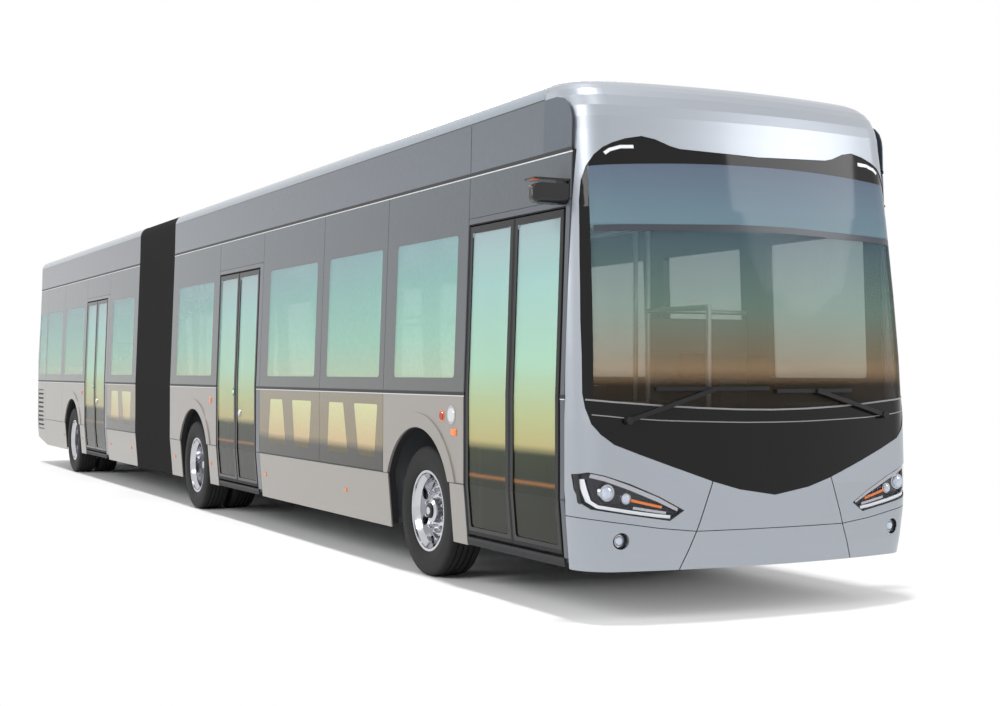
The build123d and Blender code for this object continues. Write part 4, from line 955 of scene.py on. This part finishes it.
rails = {
    # x from, x to, y of the grab rails
    "front": ((-0.30, 5.3, 0.418), (3.6, 5.3, -0.418)),
    "rear": ((-8.3, -2.3, 0.418), (-8.3, -5.6, -0.418), (-3.7, -2.3, -0.418)),
    "height": 1.98, "hangerStep": 1.6, "lightX": {"front": (-0.3, 8.2), "rear": (-8.9, -2.3)},
    "lightY": 0.62, "lightZ": (2.618, 2.641),
    # start, end, radius of the tubes round the driver's place
    "driver": (((7.52, 0.24, floorZ), (7.52, 0.24, ceilingZ), 0.018),
               ((7.52, 0.24, 1.95), (8.30, 0.24, 1.95), 0.016),
               ((8.30, 0.24, floorZ), (8.30, 0.24, 1.96), 0.018),
               ((7.52, 0.24, 1.95), (7.52, 1.12, 1.95), 0.016)),
    # two screens, display, ticket stand: low corner, high corner, bevel, segments, material index
    "blocks": (((7.54, 0.236, 0.45), (8.28, 0.244, 1.30), 0.001, 1, 2),
               ((7.48, 0.26, 0.40), (7.50, 1.14, 1.90), 0.004, 1, 2),
               ((8.86, 0.42, 1.17), (8.92, 0.86, 1.30), 0.012, 2, 3),
               ((8.52, 0.05, floorZ), (8.66, 0.17, 1.25), 0.02, 2, 3)),
}
for car in ("front", "rear"):
    bm = bmesh.new()
    z = rails["height"]
    for x0, x1, y in rails[car]:
        tube(bm, (x0, y, z), (x1, y, z), 0.016, 12)
        count = max(2, round(abs(x1 - x0) / rails["hangerStep"]))
        for k in range(count + 1):
            px = x0 + (x1 - x0) * k / count
            tube(bm, (px, y, z), (px, y, ceilingZ), 0.012, 10)
    # ceiling light strips
    x0, x1 = rails["lightX"][car]
    z0, z1 = rails["lightZ"]
    for y in (-rails["lightY"], rails["lightY"]):
        block(bm, (x0, y - 0.06, z0), (x1, y + 0.06, z1), 0.006, 1, 1)
    if car == "front":
        for start, end, radius in rails["driver"]:
            tube(bm, start, end, radius, 12)
        for lo, hi, bevel, segments, index in rails["blocks"]:
            block(bm, lo, hi, bevel, segments, index)
    looks = ["steel", "whiteLens", "seatShell", "desk"]
    place(f"saloonRails{car.capitalize()}", bm, looks, f"{car}_car", 40)

# covers over the door gear of the front car
bm = bmesh.new()
for door, (x0, x1) in doorways.items():
    if doorBody[door] == "front_car":
        block(bm, (x0 + 0.02, -1.14, 2.56), (x1 - 0.02, -0.98, 2.64), 0.01, 2)
# destination display behind the top of the windscreen
block(bm, (8.98, -0.98, 2.53), (9.08, 0.98, 2.64), 0.01, 2, 1)
place("headerBoxes", bm, ["ceiling", "glossBlack"], "front_car")
print("saloon ready")


# tail
tail = {
    # z low, z high, material index of a lamp's fields
    "lamps": ((0.69, 0.80, 0), (0.81, 0.90, 2), (0.91, 1.06, 1), (1.07, 1.23, 1)),
    "lampY": (1.055, 1.160), "housingY": (1.050, 1.166), "housingZ": (0.682, 1.238),
    # seams, sides of the flap and blank plate: y from, y to, z from, z to, material index
    "trim": ((-1.20, 1.20, 0.616, 0.624, 0), (-1.20, 1.20, 1.296, 1.304, 0), (-1.20, 1.20, 2.556, 2.564, 0),
             (-1.003, -0.997, 0.62, 1.30, 0), (0.997, 1.003, 0.62, 1.30, 0), (-0.26, 0.26, 0.70, 0.82, 1)),
    # count, z of the lowest, step, height, half width
    "slats": (9, 0.90, 0.038, 0.016, 0.85),
    "highLamps": ((-1.14, -0.96), (0.96, 1.14)), "highLampZ": (3.02, 3.06), "lift": 0.0003, "thick": 0.003,
}
bm = bmesh.new()
for side in (-1, 1):
    for z0, z1, index in tail["lamps"]:
        tailPatch(bm, rectangle(*sorted(side * y for y in tail["lampY"]), z0, z1), 0.0, 0.006, index, 0.04)
    outline = rectangle(*sorted(side * y for y in tail["housingY"]), *tail["housingZ"])
    tailPatch(bm, outline, -0.006, 0.020, 3, 0.04)
obj = place("tailLamps", bm, ["whiteLens", "red", "amber", "glossBlack"], "rear_car")
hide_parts("tail_lamps")
bm = bmesh.new()
for y0, y1, z0, z1, index in tail["trim"]:
    tailPatch(bm, rectangle(y0, y1, z0, z1), tail["lift"], tail["thick"], index)
count, low, step, high, half = tail["slats"]
for k in range(count):
    z = low + step * k
    tailPatch(bm, rectangle(-half, half, z, z + high), tail["lift"], tail["thick"])
for y0, y1 in tail["highLamps"]:
    tailPatch(bm, rectangle(y0, y1, *tail["highLampZ"]), 0.002, 0.006, 2, 0.05)
place("tailTrim", bm, ["black", "plate", "red"], "rear_car")
print("tail ready")


# floor, light and camera
studioLook = {
    # where the floor starts to turn white, as half lengths along and across, and how fast
    "reachX": 13.5, "reachY": 5.5, "start": 0.55, "slope": 2.2, "floorSize": 120,
    # strength of the world on the bus, and what is added where it is seen
    "worldLight": 0.42, "worldSeen": 0.58, "sun": 2.0,
    # name, place, aimed at, size, power
    "lamps": (("keyLamp", (14, -16, 12), (3, 0, 1.2), 9.0, 1500),
              ("sideLamp", (-10, -20, 9), (-3, 0, 1.2), 9.0, 900),
              ("fillLamp", (18, 10, 8), (6, 0, 1.5), 8.0, 700),
              ("backLamp", (-16, 10, 12), (-4, 0, 2), 9.0, 900)),
}


def seenBy(tree, rays):
    # 1 for the named kinds of ray, otherwise 0
    path = tree.nodes.new("ShaderNodeLightPath")
    seen = path.outputs[rays[0]]
    for ray in rays[1:]:
        seen = calc(tree, "MAXIMUM", seen, path.outputs[ray])
    return seen


def studio():
    look = studioLook
    bm = bmesh.new()
    bmesh.ops.create_grid(bm, x_segments=1, y_segments=1, size=look["floorSize"])
    mesh = bpy.data.meshes.new("studioFloor")
    bm.to_mesh(mesh)
    bm.free()
    floor = linked("studioFloor", mesh)
    mat, tree, shader, _, axes = blank("paleFloor")
    feed(shader, {"Base Color": grey(0.9), "Roughness": 0.9, "Specular IOR Level": 0.1})
    # white beyond the bus, so that the floor runs into the background
    alongBus = calc(tree, "DIVIDE", axes["X"], look["reachX"])
    acrossBus = calc(tree, "DIVIDE", axes["Y"], look["reachY"])
    reach = calc(tree, "ADD", calc(tree, "POWER", alongBus, 2.0), calc(tree, "POWER", acrossBus, 2.0))
    reach = calc(tree, "SUBTRACT", calc(tree, "SQRT", reach), look["start"])
    seen = seenBy(tree, ("Is Camera Ray", "Is Glossy Ray"))
    far = calc(tree, "MULTIPLY", calc(tree, "MULTIPLY", reach, look["slope"], True), seen)
    glow = tree.nodes.new("ShaderNodeEmission")
    mix = tree.nodes.new("ShaderNodeMixShader")
    feed(mix, {0: far, 1: shader.outputs[0], 2: glow.outputs[0]})
    feed(tree.nodes["Material Output"], {"Surface": mix.outputs[0]})
    mesh.materials.append(mat)

    world = bpy.data.worlds.new("studioWorld")
    bpy.context.scene.world = world
    world.use_nodes = True
    tree = world.node_tree
    seen = seenBy(tree, ("Is Camera Ray", "Is Glossy Ray", "Is Transmission Ray"))
    strength = calc(tree, "ADD", look["worldLight"], calc(tree, "MULTIPLY", seen, look["worldSeen"]))
    feed(tree.nodes["Background"], {"Color": grey(1), "Strength": strength})

    sun = bpy.data.lights.new("overheadLamp", "SUN")
    sun.energy = look["sun"]
    sun.angle = radians(5)
    linked("overheadLamp", sun).rotation_euler = (radians(3), radians(-2), 0)
    for name, spot, target, size, power in look["lamps"]:
        data = bpy.data.lights.new(name, "AREA")
        data.shape = "DISK"
        data.size = size
        data.energy = power
        lamp = linked(name, data)
        lamp.location = spot
        lamp.rotation_euler = (Vector(spot) - Vector(target)).to_track_quat("Z", "Y").to_euler()


def camera():
    # standing place and lens that match the photograph's view
    view = {"place": (16.923, -5.705, 1.498), "right": (0.44934, 0.89336, 0.000955),
            "up": (0.01102, -0.00661, 0.99992), "back": (0.89329, -0.44929, -0.01281), "lens": 54.29}
    data = bpy.data.cameras.new("photoCamera")
    data.sensor_width = 36
    data.sensor_fit = "HORIZONTAL"
    data.lens = view["lens"]
    data.clip_end = 400
    cam = linked("photoCamera", data)
    turn = Matrix((view["right"], view["up"], view["back"])).transposed()
    cam.matrix_world = Matrix.Translation(view["place"]) @ turn.to_4x4()
    bpy.context.scene.camera = cam


studio()
camera()
bpy.context.scene.view_settings.view_transform = "Standard"
